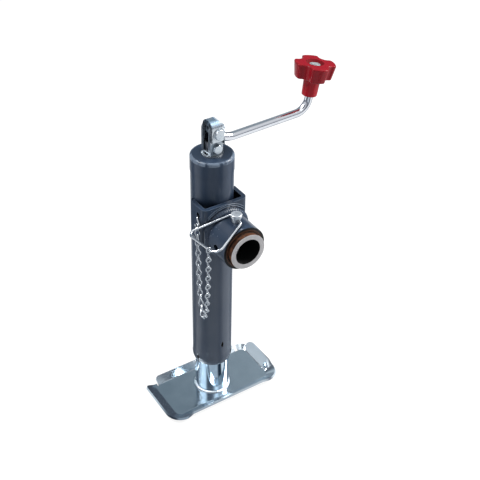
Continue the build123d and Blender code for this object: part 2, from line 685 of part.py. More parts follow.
def hood_end(inset, drop, round_radius):
    """Outline of the hood from its end, in Y and Z: a flat sided arch."""
    near = HOOD_NEAR + inset
    far = HOOD_FAR - inset
    low = PIVOT_LEVEL - 2 * HOOD_WEB_DROP
    top = PIVOT_LEVEL + HOOD_TOP - drop
    outline = closed((near, low), (far, low), (far, top), (near, top))
    return fillet(outline.vertices().group_by(Axis.Y)[-1], round_radius)


def along_x(outline, start, end):
    """Bar with an outline drawn in Y and Z, between two places along X."""
    return Pos(start, 0, 0) * extrude(Plane.YZ * outline, end - start)


def hood_block():
    """Hood before it is hollowed: arched from its end, crowned from the side and round at the rod's end."""
    body = side_plate(hood_side(), HOOD_NEAR, HOOD_FAR)
    body &= along_x(hood_end(0.0, 0.0, HOOD_OUTER_ROUND), -2 * HOOD_REAR, 2 * HOOD_FRONT)
    back = -2 * HOOD_REAR
    plan = closed((back, HOOD_NEAR), (HOOD_FRONT, HOOD_NEAR), (HOOD_FRONT, HOOD_FAR), (back, HOOD_FAR))
    plan = fillet(plan.vertices().group_by(Axis.X)[-1], HOOD_FRONT_ROUND)
    return body & Pos(0, 0, PIVOT_LEVEL - 2 * HOOD_WEB_DROP) * extrude(plan, 4 * HOOD_WEB_DROP)


def crank_hood():
    """Arched yoke over the near ear: two cheeks, a round top and a web that the rod is welded to."""
    body = hood_block() - hood_hollow()
    return body - rod_y(PIVOT_RADIUS + RUNNING_FIT, 2 * HOOD_NEAR, 2 * CLEVIS_OUTER, z=PIVOT_LEVEL)


def crank_points():
    """Corners of the crank rod's axis: root, dip, elbow and the grip's direction."""
    level = PIVOT_LEVEL - ROD_DROP
    root = Vector(HOOD_FRONT, HOOD_MIDDLE, level)
    dip = Vector(ROD_DIP_RUN, HOOD_MIDDLE, level - ROD_DIP)
    elbow = dip + Vector(CRANK_REACH - ROD_DIP_RUN, 0, (CRANK_REACH - ROD_DIP_RUN) * tan(radians(ROD_SLOPE)))
    grip = Vector(sin(radians(GRIP_LEAN)), 0, cos(radians(GRIP_LEAN)))
    return root, dip, elbow, grip


def grip_plane(along=0.0):
    """Plane across the grip's axis, at a distance from the elbow."""
    root, dip, elbow, grip = crank_points()
    return Plane(origin=elbow + grip * along, x_dir=(grip.Z, 0, -grip.X), z_dir=grip)


def crank_rod():
    """Bent rod from the hood to the knob, turned down to a spindle inside the knob."""
    root, dip, elbow, grip = crank_points()
    shoulder = KNOB_GAP + 1.0
    inside = root - (dip - root).normalized() * (HOOD_WEB / 2)
    path = FilletPolyline(inside, dip, elbow, elbow + grip * shoulder, radius=[ROD_DIP_BEND, ROD_BEND])
    body = wire_along(path, ROD_RADIUS) - hood_block()
    spindle = KNOB_STEM + KNOB_HEAD - KNOB_DISH + KNOB_WASHER + 0.8 - 1.0
    return body + grip_plane(shoulder) * Cylinder(SPINDLE_RADIUS, spindle, align=UPRIGHT)


def knob():
    """Moulded knob: a flared stem and a lobed head with a dished centre."""
    stem = Cone(KNOB_STEM_RADIUS, KNOB_STEM_RADIUS + KNOB_STEM_FLARE, KNOB_STEM + 1, align=UPRIGHT)
    stem = fillet(stem.edges().group_by(Axis.Z)[0], 1.5)
    star = Circle(KNOB_RADIUS)
    for index in range(KNOB_LOBES):
        turn = radians(KNOB_LOBE_ANGLE + (index + 0.5) * 360 / KNOB_LOBES)
        star -= Pos(KNOB_NOTCH_CENTRE * cos(turn), KNOB_NOTCH_CENTRE * sin(turn)) * Circle(KNOB_NOTCH_RADIUS)
    star = fillet(star.vertices(), 3.5)
    head = loft([Pos(0, 0, KNOB_STEM) * scale(star, KNOB_DRAFT), Pos(0, 0, KNOB_STEM + KNOB_HEAD) * star], ruled=True)
    head = fillet(head.edges().group_by(Axis.Z)[-1], KNOB_TOP_ROUND)
    head = fillet(head.edges().group_by(Axis.Z)[0], KNOB_LOW_ROUND)
    body = stem + head
    top = KNOB_STEM + KNOB_HEAD
    dish = Cone(KNOB_WASHER_RADIUS + 1.2, KNOB_DISH_RADIUS, KNOB_DISH, align=UPRIGHT)
    body -= Pos(0, 0, top - KNOB_DISH) * dish
    body -= Cylinder(SPINDLE_RADIUS + RUNNING_FIT, 3 * top)
    body -= rod(ROD_RADIUS + TURNING_GAP, -1.0, 1.0 + TURNING_GAP)
    return grip_plane(KNOB_GAP) * body


def knob_washer():
    """Push on washer that keeps the knob on its spindle."""
    seat = KNOB_GAP + KNOB_STEM + KNOB_HEAD - KNOB_DISH + TURNING_GAP
    washer = ring(KNOB_WASHER_RADIUS, SPINDLE_RADIUS, 0, KNOB_WASHER - TURNING_GAP)
    return grip_plane(seat) * washer


def hook_points():
    """Route of the chain's hook: through the bracket's hole, then leaning forward and down."""
    x, y, z = chain_hole_place()
    z -= CHAIN_HOLE_RADIUS - HOOK_WIRE - REST_GAP
    inside = x + BRACKET_PLATE + HOOK_WIRE + REST_GAP + HOOK_PLAY
    outside = x - HOOK_WIRE - REST_GAP - HOOK_PLAY
    lean = y - HOOK_LEAN
    low = z - HOOK_DROP
    return [
        Vector(inside, y, z - HOOK_TIP),
        Vector(inside, y, z),
        Vector(outside, y, z),
        Vector(outside, lean, low),
        Vector(outside - HOOK_RUN, lean, low),
        Vector(outside - HOOK_RUN, lean, low + HOOK_TIP),
    ]


def chain_hook():
    """Wire hook through the bracket's hole, which the chain hangs on."""
    bends = [1.3, 1.6, HOOK_BEND, HOOK_BEND]
    return wire_along(FilletPolyline(*hook_points(), radius=bends), HOOK_WIRE)


def chain_ends():
    """First and last joint of the chain, on the hook and on the bail's far wire."""
    points = hook_points()
    low = (points[3] + points[4]) * 0.5
    start = low + Vector(0, 0, HOOK_WIRE + REST_GAP - CHAIN_SLACK / 2)
    end = on_bail_end(-CHAIN_ON_BAIL) + Vector(0, 0, BAIL_WIRE + REST_GAP - CHAIN_SLACK / 2)
    return start, end


def hanging_angles(span, rise):
    """Slopes of equal links that hang from two ends, from the statics of a chain."""

    def reach(middle, sag):
        slopes = [atan2(sag * (index - middle), 1.0) for index in range(CHAIN_LINKS)]
        return slopes, CHAIN_PITCH * sum(map(cos, slopes)), CHAIN_PITCH * sum(map(sin, slopes))

    low_middle, high_middle = 0.0, float(CHAIN_LINKS)
    for _ in range(60):
        middle = (low_middle + high_middle) / 2
        low_sag, high_sag = 1e-3, 1e3
        for _ in range(60):
            sag = sqrt(low_sag * high_sag)
            slopes, across, up = reach(middle, sag)
            low_sag, high_sag = (sag, high_sag) if across > span else (low_sag, sag)
        low_middle, high_middle = (middle, high_middle) if up > rise else (low_middle, middle)
    return slopes


def link_loop(length):
    """One flat eye of a chain link, long side along X, centred."""
    width = CHAIN_WIDTH
    corner = width * 0.29
    inner = corner * (width - 2 * CHAIN_WIRE) / width
    outer = chamfer(Rectangle(length, width).vertices(), corner)
    hole = chamfer(Rectangle(length - 2 * CHAIN_WIRE, width - 2 * CHAIN_WIRE).vertices(), inner)
    return Pos(0, 0, -CHAIN_WIRE / 2) * extrude(outer - hole, CHAIN_WIRE)


def chain_link():
    """Twisted figure of eight link, centred, along X, with its first eye flat in the XZ plane."""
    whole = CHAIN_PITCH + CHAIN_SLACK + 2 * CHAIN_WIRE
    eye = (whole + CHAIN_WIRE) / 2
    shift = (whole - eye) / 2
    first = Pos(-shift, 0, 0) * Rot(90, 0, 0) * link_loop(eye)
    return first + Pos(shift, 0, 0) * link_loop(eye)


def safety_chain():
    """Chain hanging in an even curve between the hook and the bail."""
    start, end = chain_ends()
    flat = Vector(end.X - start.X, end.Y - start.Y, 0)
    heading = flat.normalized()
    link = chain_link()
    links = []
    place = start
    for slope in hanging_angles(flat.length, end.Z - start.Z):
        step = heading * cos(slope) + Vector(0, 0, sin(slope))
        side = Vector(-heading.Y, heading.X, 0)
        links.append(Plane(origin=place + step * (CHAIN_PITCH / 2), x_dir=step, z_dir=side.cross(step) * -1) * link)
        place = place + step * CHAIN_PITCH
    return links


NODES = {
    "outer_tube": outer_tube,
    "tube_cap": tube_cap,
    "cap_washer": cap_washer,
    "upper_race": lambda: race(RACE_TOP),
    "lower_race": lower_race,
    "thrust_rollers": thrust_rollers,
    "screw_collar": screw_collar,
    "collar_pin": collar_pin,
    "lead_screw": lead_screw,
    "drive_nut": drive_nut,
    "ram_tube": ram_tube,
    "foot_weld": foot_weld,
    "foot_plate": foot_plate,
    "swivel_bracket": swivel_bracket,
    "bracket_welds": bracket_welds,
    "swivel_sleeve": swivel_sleeve,
    "sleeve_weld": sleeve_weld,
    "mount_pipe": mount_pipe,
    "lock_pin": lock_pin,
    "pin_bail": pin_bail,
    "crank_clevis": crank_clevis,
    "clevis_bolt": clevis_bolt,
    "clevis_nut": clevis_nut,
    "pivot_pin": pivot_pin,
    "pivot_washer": pivot_washer,
    "pivot_clip": pivot_clip,
    "pivot_spacer": pivot_spacer,
    "crank_hood": crank_hood,
    "crank_rod": crank_rod,
    "knob": knob,
    "knob_washer": knob_washer,
    "chain_hook": chain_hook,
    "safety_chain": safety_chain,
}

os.makedirs("parts", exist_ok=True)
for name, make in NODES.items():
    shape = make()
    if isinstance(shape, list):
        shape = Compound(children=shape)
    export_step(shape, f"parts/{name}.step")
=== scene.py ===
"""Looks of a top wind trailer jack: its finishes, welds, chain and bolt, and its studio."""

import logging
import math
from collections.abc import Callable, Sequence
from dataclasses import dataclass
from enum import Enum

import bmesh
import bpy
from bmesh.types import BMEdge, BMesh, BMFace, BMVert
from bpy.types import Material, Node, NodeSocket, Object
from mathutils import Matrix, Vector


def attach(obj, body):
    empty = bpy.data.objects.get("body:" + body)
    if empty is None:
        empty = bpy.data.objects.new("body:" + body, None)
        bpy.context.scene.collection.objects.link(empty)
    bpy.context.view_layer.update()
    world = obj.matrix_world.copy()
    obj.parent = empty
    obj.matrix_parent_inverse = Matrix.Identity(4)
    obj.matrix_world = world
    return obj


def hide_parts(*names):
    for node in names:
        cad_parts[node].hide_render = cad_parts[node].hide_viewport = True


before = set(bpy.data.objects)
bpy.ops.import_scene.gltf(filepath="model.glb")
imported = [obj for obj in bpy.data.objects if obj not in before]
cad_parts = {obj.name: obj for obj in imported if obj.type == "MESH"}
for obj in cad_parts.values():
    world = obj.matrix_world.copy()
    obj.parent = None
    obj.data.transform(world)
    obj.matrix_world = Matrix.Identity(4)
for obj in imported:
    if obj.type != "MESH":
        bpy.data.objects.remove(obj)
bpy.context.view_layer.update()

MM = 0.001
FULL_TURN = 2 * math.pi
WEB_FACE = -30.2
SLEEVE_LEVEL = 273.0
SLEEVE_MOUTH = -69.5
Colour = tuple[float, float, float]
Point = tuple[float, float, float]
Flat = tuple[float, float]
Paint = Colour | NodeSocket
Part = BMVert | BMEdge | BMFace
Trace = tuple[float, Vector]
log = logging.getLogger("jack")


def opaque(colour: Paint) -> tuple[float, ...] | NodeSocket:
    """A colour with its alpha, or the socket that gives one."""
    return (*colour, 1.0) if isinstance(colour, tuple) else colour


class Value:
    """A number in a node tree, which Python's operators work on."""

    def __init__(self, tree: "Nodes", socket: NodeSocket) -> None:
        """Keeps the tree that the number is worked out in, and its socket."""
        self.tree = tree
        self.socket = socket

    def _math(self, operation: str, *terms: "float | Value") -> "Value":
        """Adds one Math node.

        Args:
            operation: What the node does.
            terms: Its inputs, in order.

        Returns:
            The node's result.
        """
        made = self.tree.node("ShaderNodeMath", {"operation": operation}, dict(enumerate(terms)))
        return Value(self.tree, made.outputs[0])

    def __add__(self, other: "float | Value") -> "Value":
        """Sum."""
        return self._math("ADD", self, other)

    def __radd__(self, other: float) -> "Value":
        """Sum with a number in front."""
        return self._math("ADD", other, self)

    def __sub__(self, other: "float | Value") -> "Value":
        """Difference."""
        return self._math("SUBTRACT", self, other)

    def __rsub__(self, other: float) -> "Value":
        """Difference from a number in front."""
        return self._math("SUBTRACT", other, self)

    def __mul__(self, other: "float | Value") -> "Value":
        """Product."""
        return self._math("MULTIPLY", self, other)

    def __rmul__(self, other: float) -> "Value":
        """Product with a number in front."""
        return self._math("MULTIPLY", other, self)

    def __truediv__(self, other: "float | Value") -> "Value":
        """Quotient."""
        return self._math("DIVIDE", self, other)

    def root(self) -> "Value":
        """Square root."""
        return self._math("SQRT", self)

    def wave(self) -> "Value":
        """Sine."""
        return self._math("SINE", self)

    def angle(self, other: "Value") -> "Value":
        """Angle whose tangent is this over the other."""
        return self._math("ARCTAN2", self, other)

    def larger(self, other: "float | Value") -> "Value":
        """The larger of the two."""
        return self._math("MAXIMUM", self, other)

    def rise(self, low: float, high: float) -> "Value":
        """Goes smoothly from 0 at low to 1 at high.

        Args:
            low: Where the rise starts.
            high: Where it ends, below low for a fall.

        Returns:
            The risen value, between 0 and 1.
        """
        start, end, first, last = (low, high, 0.0, 1.0) if low < high else (high, low, 1.0, 0.0)
        made = self.tree.node(
            "ShaderNodeMapRange",
            {"interpolation_type": "SMOOTHSTEP"},
            {"Value": self, "From Min": start, "From Max": end, "To Min": first, "To Max": last},
        )
        return Value(self.tree, made.outputs[0])


class Nodes:
    """A node tree, and the one way that its nodes are made."""

    def __init__(self, tree: bpy.types.NodeTree) -> None:
        """Empties the tree."""
        self.tree = tree
        self.tree.nodes.clear()

    def node(self, kind: str, settings: dict | None = None, sockets: dict | None = None) -> Node:
        """Makes one node.

        Args:
            kind: The node's type.
            settings: What is set on the node itself, a colour ramp's stops among it.
            sockets: The values or links of its sockets, by name or place.

        Returns:
            The node.
        """
        made = self.tree.nodes.new(kind)
        for name, value in (settings or {}).items():
            if name == "stops":
                self._set_stops(made.color_ramp, value)
            else:
                setattr(made, name, value)
        for name, value in (sockets or {}).items():
            if isinstance(value, Value):
                self.tree.links.new(value.socket, made.inputs[name])
            elif isinstance(value, NodeSocket):
                self.tree.links.new(value, made.inputs[name])
            else:
                made.inputs[name].default_value = value
        return made

    @staticmethod
    def _set_stops(ramp: bpy.types.ColorRamp, stops: Sequence[tuple[float, Colour]]) -> None:
        """Puts the stops on a colour ramp that starts with two.

        Args:
            ramp: The ramp.
            stops: Each stop's place and colour.
        """
        for index, (place, colour) in enumerate(stops):
            stop = ramp.elements[index] if index < 2 else ramp.elements.new(place)
            stop.position = place
            stop.color = opaque(colour)

    def value(self, socket: NodeSocket) -> Value:
        """The number that a socket gives."""
        return Value(self, socket)

    def coordinates(self, output: str = "Object") -> NodeSocket:
        """The place of a point, on the object itself unless another output is named."""
        return self.node("ShaderNodeTexCoord").outputs[output]

    def parts(self, vector: NodeSocket) -> tuple[Value, ...]:
        """The three numbers of a vector."""
        return tuple(map(self.value, self.node("ShaderNodeSeparateXYZ", None, {0: vector}).outputs))

    def place_mm(self) -> tuple[Value, ...]:
        """The three numbers of a point's place on the object, in millimetres."""
        return tuple(part * (1 / MM) for part in self.parts(self.coordinates()))

    def mixed(self, first: Paint, second: Paint, share: Value) -> NodeSocket:
        """Mixes two colours.

        Args:
            first: The colour at a share of 0.
            second: The colour at a share of 1.
            share: How much of the second.

        Returns:
            The mixed colour's socket.
        """
        sockets = {0: share, 6: opaque(first), 7: opaque(second)}
        return self.node("ShaderNodeMix", {"data_type": "RGBA"}, sockets).outputs[2]

    def noise(
        self, size_mm: float, detail: float = 3.0, stretch: Point = (1, 1, 1), seed: float = 0.0
    ) -> Value:
        """Cloudy noise between 0 and 1.

        Args:
            size_mm: Rough size of its clouds.
            detail: How many finer layers it has.
            stretch: How much denser it is along each axis.
            seed: Shifts it, so that two of one size differ.

        Returns:
            The noise.
        """
        place = {"Vector": self.coordinates(), "Scale": stretch, "Location": (seed, seed, seed)}
        moved = self.node("ShaderNodeMapping", None, place).outputs[0]
        sockets = {"Vector": moved, "Scale": 1 / (size_mm * MM), "Detail": detail}
        return self.value(self.node("ShaderNodeTexNoise", None, sockets).outputs[0])

    def _voronoi(self, size_mm: float) -> bpy.types.bpy_prop_collection:
        """What a Voronoi pattern of a size gives."""
        sockets = {"Vector": self.coordinates(), "Scale": 1 / (size_mm * MM)}
        return self.node("ShaderNodeTexVoronoi", None, sockets).outputs

    def cells(self, size_mm: float) -> Value:
        """Crystal like cells, each with its own grey.

        Args:
            size_mm: Size of a cell.

        Returns:
            The cell's grey between 0 and 1.
        """
        return self.parts(self._voronoi(size_mm)["Color"])[0]

    def spots(self, spacing_mm: float, outer: float, inner: float) -> Value:
        """Scattered round spots.

        Args:
            spacing_mm: Rough distance between them.
            outer: Their outer radius, as a share of the distance.
            inner: The radius inside which they are full.

        Returns:
            1 in a spot and 0 between them.
        """
        return self.value(self._voronoi(spacing_mm)["Distance"]).rise(outer, inner)

    def edges(self, radius_mm: float, gain: float) -> Value:
        """How near a point is to an outer or inner edge.

        Args:
            radius_mm: How far from the edge it starts.
            gain: How sharply it rises.

        Returns:
            About 0 on flats and 1 on edges.
        """
        rounded = self.node("ShaderNodeBevel", {"samples": 4}, {"Radius": radius_mm * MM})
        plain = self.node("ShaderNodeNewGeometry").outputs["Normal"]
        sockets = {0: rounded.outputs[0], 1: plain}
        dot = self.node("ShaderNodeVectorMath", {"operation": "DOT_PRODUCT"}, sockets)
        return ((1.0 - self.value(dot.outputs["Value"])) * gain).rise(0.02, 1.0)

    def crevices(self, reach_mm: float) -> Value:
        """How shut in a point is, by its own piece or another.

        Args:
            reach_mm: How far off a wall still counts.

        Returns:
            About 0 in the open and 1 deep inside.
        """
        made = self.node("ShaderNodeAmbientOcclusion", {"samples": 6}, {"Distance": reach_mm * MM})
        return (1.0 - self.value(made.outputs["AO"])).rise(0.12, 0.75)

    def bump(self, height: Value, depth_mm: float, under: NodeSocket | None = None) -> NodeSocket:
        """Bumps of a given depth.

        Args:
            height: Height between 0 and 1.
            depth_mm: Depth from 0 to 1.
            under: Coarser bumps that these lie on.

        Returns:
            The bumped normal's socket.
        """
        sockets = {"Strength": 1.0, "Distance": depth_mm * MM, "Height": height}
        if under is not None:
            sockets["Normal"] = under
        return self.node("ShaderNodeBump", None, sockets).outputs[0]


class Shade(Nodes):
    """One material with one Principled surface."""

    def __init__(self, name: str) -> None:
        """Makes an empty material of that name."""
        self.material = bpy.data.materials.new(name)
        self.material.use_nodes = True
        super().__init__(self.material.node_tree)

    def finish(self, **sockets: "float | Colour | Value | NodeSocket") -> Material:
        """Adds the surface and the output.

        Args:
            sockets: The surface's sockets, with _ for a space.

        Returns:
            The finished material.
        """
        named = {name.replace("_", " "): value for name, value in sockets.items()}
        surface = self.node("ShaderNodeBsdfPrincipled", None, named)
        self.node("ShaderNodeOutputMaterial", None, {"Surface": surface.outputs[0]})
        return self.material


@dataclass(frozen=True)
class BakedEnamel:
    """Dark blue grey enamel, baked on, with a little orange peel, lighter where it drew thin.

    Its edges are painted lighter, both as thin paint and as a painted highlight. It covers the
    weld's ripples and spatter on the bracket's web, which carry a painted highlight, and the cap's
    shoulder carries a painted highlight too. It is painted lighter towards the bottom, as painted
    light, and darker in corners, as painted shade. The sleeve's mouth, the crimp's dimples and the
    dent are painted dark, as shade, with a rust brown land round the mouth's bore.
    """

    deep: Colour = (0.022, 0.040, 0.074)
    # Also the painted light that makes the enamel lighter towards the bottom.
    light: Colour = (0.056, 0.072, 0.102)
    # Colour of thin paint on edges, also used for painted highlights on edges and on the cap's
    # shoulder.
    edge: Colour = (0.200, 0.255, 0.335)
    # Painted highlight on the weld's ripples and spatter.
    painted_weld_highlight: Colour = (0.300, 0.380, 0.500)
    # Painted shade in corners and between parts.
    painted_shade: Colour = (0.003, 0.006, 0.014)
    # Painted shade, dark, in the sleeve's mouth and in the dimples and the dent.
    painted_dark_shade: Colour = (0.004, 0.004, 0.005)
    brown: Colour = (0.070, 0.027, 0.012)
    roughness: float = 0.36
    sheen: float = 0.32
    coat: float = 0.22
    coat_roughness: float = 0.12
    web_face: float = WEB_FACE
    sleeve_mouth: float = SLEEVE_MOUTH
    sleeve_level: float = SLEEVE_LEVEL
    weld_from: float = 32.0
    weld_to: float = 39.0
    weld_pitch: float = 2.3
    dent_level: float = 89.8
    dent_half: float = 1.9
    dent_long: float = 5.0
    dent_face: float = -22.0
    dimple_radius: float = 3.4
    dimple_floor: float = 1.6
    mouth_land: float = 24.3
    # Levels of the painted light: the enamel gets lighter from the upper one down to the lower one.
    painted_light_top: float = 290.0
    painted_light_bottom: float = 205.0
    dimples: tuple[Point, ...] = ((17.0, -18.9, 64.0), (7.8, 24.2, 64.0), (-24.8, -5.3, 64.0))
    shoulder_level: float = 361.0
    shoulder_radius: float = 22.6
    skirt_end: float = 344.8

    def make(self) -> Material:
        """Makes the material.

        Returns:
            The material.
        """
        shade = Shade("blue_grey_enamel")
        x, y, z = shade.place_mm()
        high = z - self.sleeve_level
        radius = (x * x + high * high).root()
        clouds = shade.noise(35, 2)
        specks = shade.noise(0.5, 1).rise(0.68, 0.76)
        runs = shade.noise(9, 3, (1, 1, 0.25), 3.0)
        skirt = z - self.skirt_end
        edges = shade.edges(1.2, 3.0) * (1 - skirt.rise(-2.5, -1.5) * skirt.rise(2.5, 1.5))
        # Painted shade: the dent and the crimp's dimples are painted dark.
        dent_x, dent_z = x / self.dent_half, (z - self.dent_level) / self.dent_long
        dent = (dent_x * dent_x + dent_z * dent_z).rise(1.0, 0.7)
        dent = dent * (y - self.dent_face).rise(0.0, -2.0)
        for place in self.dimples:
            along, out, up = (part - middle for part, middle in zip((x, y, z), place))
            away = (along * along + out * out + up * up * 0.4).root()
            dent = dent.larger(away.rise(self.dimple_radius, self.dimple_floor) * 0.8)
        # Painted shade: the sleeve's mouth face and the dents take the dark mouth colour.
        black = (y - self.sleeve_mouth).rise(0.5, 0.2).larger(dent)
        # Painted light: lighter towards the bottom, mixed with a random cloudy tone.
        low = z.rise(self.painted_light_top, self.painted_light_bottom)
        base = shade.mixed(self.deep, self.light, clouds.rise(0.3, 0.7) * 0.25 + low * 0.75)
        # Painted shade in corners and between parts, from ambient occlusion.
        base = shade.mixed(base, self.painted_shade, shade.crevices(26) * 0.9)
        # Painted highlight: a lighter band, broken up by noise, on the cap's shoulder.
        shoulder = z - self.shoulder_level
        turned = (x * x + y * y).root() - self.shoulder_radius
        painted_shoulder_highlight = shoulder.rise(-1.2, 0.0) * turned.rise(0.0, 0.9) * runs.rise(0.44, 0.58)
        base = shade.mixed(base, self.edge, painted_shoulder_highlight * shoulder.rise(4.2, 3.4) * 0.68)
        web = (y - self.web_face).rise(0.3, 0.1)
        weld = (radius - self.weld_from).rise(0.0, 0.6) * (radius - self.weld_to).rise(0.0, -2.0)
        rings = ((radius + runs * 1.5) * (FULL_TURN / self.weld_pitch)).wave() * 0.5 + 0.5
        spatter = shade.spots(5.0, 0.14, 0.06) * radius.rise(46.0, 40.0)
        ripples = (rings * weld * high.rise(-6.0, 10.0) + spatter) * web
        # Edges are lighter, both as thin paint and as a painted highlight; the specks are fine
        # flecks.
        base = shade.mixed(base, self.edge, edges * 0.7 + specks * 0.10)
        # Painted highlight on the weld's ripples and spatter on the web.
        base = shade.mixed(base, self.painted_weld_highlight, ripples.rise(0.7, 1.0) * 0.8)
        # Mouth colour: rust brown on the land, with painted dark shade outside it and in the dents.
        land = (radius - self.mouth_land).rise(0.0, 0.5)
        base = shade.mixed(base, shade.mixed(self.brown, self.painted_dark_shade, land.larger(dent)), black)
        coarse = shade.bump(ripples, 0.9)
        return shade.finish(
            Base_Color=base,
            Roughness=self.roughness - 0.07 + runs * 0.14 + edges * 0.05 + black * 0.3,
            Specular_IOR_Level=self.sheen,
            Coat_Weight=self.coat,
            Coat_Roughness=self.coat_roughness,
            Normal=shade.bump(shade.noise(1.6, 2) + runs * 0.8, 0.05, coarse),
        )


@dataclass(frozen=True)
class ZincPlate:
    """Bright zinc plate with a faint blue passivation, mottled by the steel under it, with painted
    shade and highlights.
    """

    name: str
    dull: Colour = (0.50, 0.57, 0.63)
    bright: Colour = (0.80, 0.86, 0.91)
    polish: float = 0.22
    mottle: float = 0.14
    mottle_mm: float = 9.0
    depth_mm: float = 0.02
    grain: float = 0.15
    # Lighter edges, both as wear and as a painted highlight.
    worn_and_highlight: Colour = (0.93, 0.95, 0.97)
    # Painted shade in crevices and at the rear end.
    painted_shade: Colour = (0.035, 0.050, 0.065)
    reach_mm: float = 6.0
    fold_mm: float = 0.5
    # Share of the painted light that makes the plate lighter towards +X.
    painted_light_drift: float = 0.0
    painted_light_drift_mm: float = 85.0
    # Painted reflection of blue sky on the top, above a level.
    blue: Colour = (0.36, 0.56, 0.76)
    painted_sky_from: float = 0.0
    rear_end: float = -9.0

    def make(self) -> Material:
        """Makes the material.

        Returns:
            The material.
        """
        shade = Shade(self.name)
        along, _, height = shade.place_mm()
        clouds = shade.noise(self.mottle_mm, 4)
        grains = shade.cells(1.1)
        scratches = shade.noise(0.5, 2, (0.12, 1, 1), 5.0).rise(0.6, 0.75)
        edges = shade.edges(self.fold_mm, 3.0)
        tone = clouds.rise(0.25, 0.75) * (1 - self.grain) + grains * self.grain
        # Painted light: where asked, the plate is lighter towards +X.
        if self.painted_light_drift:
            painted_light_drift = along.rise(-self.painted_light_drift_mm, self.painted_light_drift_mm)
            tone = tone * (1 - self.painted_light_drift) + painted_light_drift * self.painted_light_drift
        base = shade.mixed(self.dull, self.bright, tone)
        if self.painted_sky_from:
            # Painted reflection of blue sky on the top, and painted shade at the rear end.
            top = (height - self.painted_sky_from).rise(0.0, 5.0) * clouds.rise(0.35, 0.55)
            painted_rear_shade = (along - self.rear_end).rise(1.6, 0.0) * clouds.rise(0.65, 0.45)
            base = shade.mixed(base, self.blue, top * 0.75)
            base = shade.mixed(base, self.painted_shade, painted_rear_shade * 0.75)
        # Painted shade in crevices and between parts, from ambient occlusion.
        base = shade.mixed(base, self.painted_shade, shade.crevices(self.reach_mm) * 0.88)
        # Edges are lighter, both as wear and as a painted highlight.
        base = shade.mixed(base, self.worn_and_highlight, edges * 0.5)
        rough = self.polish + clouds * self.mottle + scratches * 0.08 - edges * 0.06
        return shade.finish(
            Base_Color=base,
            Metallic=1.0,
            Roughness=rough,
            Normal=shade.bump(clouds + grains * self.grain + scratches * 0.3, self.depth_mm),
        )


@dataclass(frozen=True)
class BrightRod:
    """Drawn rod with fine lines along it, plated bright, and dull where it was cut."""

    base: Colour = (0.88, 0.89, 0.92)
    dull: Colour = (0.74, 0.75, 0.80)
    cut: Colour = (0.50, 0.54, 0.54)
    cut_level: float = 436.0
    roughness: float = 0.11

    def make(self) -> Material:
        """Makes the material.

        Returns:
            The material.
        """
        shade = Shade("bright_rod")
        lines = shade.noise(0.7, 2, (0.02, 1, 1))
        blotches = shade.noise(14, 3, seed=2.0).rise(0.45, 0.8)
        base = shade.mixed(self.base, self.dull, blotches * 0.6 + lines * 0.2)
        tip = (shade.place_mm()[2] - self.cut_level).rise(0.0, 1.0)
        base = shade.mixed(base, self.cut, tip * 0.9)
        return shade.finish(
            Base_Color=base,
            Metallic=1.0,
            Roughness=self.roughness + blotches * 0.08 + tip * 0.5,
            Normal=shade.bump(lines, 0.003),
        )


@dataclass(frozen=True)
class SawnPipe:
    """Bare pipe: brown with rust on its side, pale where it was sawn, and painted dark in its bore
    and by the sleeve's mouth, as shade.
    """

    level: float = SLEEVE_LEVEL
    mouth: float = SLEEVE_MOUTH
    end: float = -77.3
    bore: float = 16.4
    outside: float = 22.3
    rust_dark: Colour = (0.022, 0.010, 0.006)
    rust: Colour = (0.105, 0.038, 0.016)
    sawn: Colour = (0.56, 0.54, 0.54)
    sawn_dark: Colour = (0.42, 0.41, 0.42)
    # Painted shade, dark, in the bore and by the sleeve's mouth.
    painted_dark_shade: Colour = (0.003, 0.003, 0.003)
    burr: Colour = (0.72, 0.72, 0.72)
    saw_rate: float = 5.2

    def make(self) -> Material:
        """Makes the material.

        Returns:
            The material.
        """
        shade = Shade("sawn_pipe")
        along, out, up = shade.place_mm()
        high = up - self.level
        radius = (along * along + high * high).root()
        face = (out - self.end).rise(0.6, 0.1)
        inside = (radius - self.bore).rise(0.9, 0.3)
        clouds = shade.noise(6, 5)
        fine = shade.noise(0.8, 3, seed=1.0)
        strokes = ((along * 0.5 + high) * self.saw_rate + clouds * 3.0).wave() * 0.5 + 0.5
        rust = shade.mixed(self.rust_dark, self.rust, clouds.rise(0.38, 0.68))
        # Painted shade: dark in the bore and on the side by the sleeve's mouth.
        shaded = (out - self.mouth).rise(-3.2, -1.6)
        rust = shade.mixed(rust, self.painted_dark_shade, inside.larger(shaded * 0.5))
        cuts = strokes * 0.35 + fine.rise(0.5, 0.8) * 0.5
        steel = shade.mixed(self.sawn, self.sawn_dark, cuts)
        steel = shade.mixed(steel, self.burr, (radius - self.outside).rise(-0.6, -0.1) * 0.6)
        base = shade.mixed(rust, steel, face)
        return shade.finish(
            Base_Color=base,
            Metallic=face * 0.6,
            Roughness=0.66 + fine * 0.18 - face * 0.26,
            Specular_IOR_Level=0.2,
            Normal=shade.bump(fine + clouds * 0.6 + strokes * face * 0.4, 0.06),
        )


@dataclass(frozen=True)
class GroundSteel:
    """Ground steel under a film of grease."""

    name: str
    base: Colour = (0.56, 0.56, 0.58)
    grease: Colour = (0.10, 0.085, 0.06)

    def make(self) -> Material:
        """Makes the material.

        Returns:
            The material.
        """
        shade = Shade(self.name)
        film = shade.noise(4, 3).rise(0.45, 0.7)
        lines = shade.noise(0.4, 2, (1, 1, 6))
        base = shade.mixed(self.base, self.grease, film * 0.7)
        return shade.finish(
            Base_Color=base,
            Metallic=1.0 - film * 0.5,
            Roughness=0.2 + film * 0.15 + lines * 0.1,
            Normal=shade.bump(lines + film, 0.02),
        )


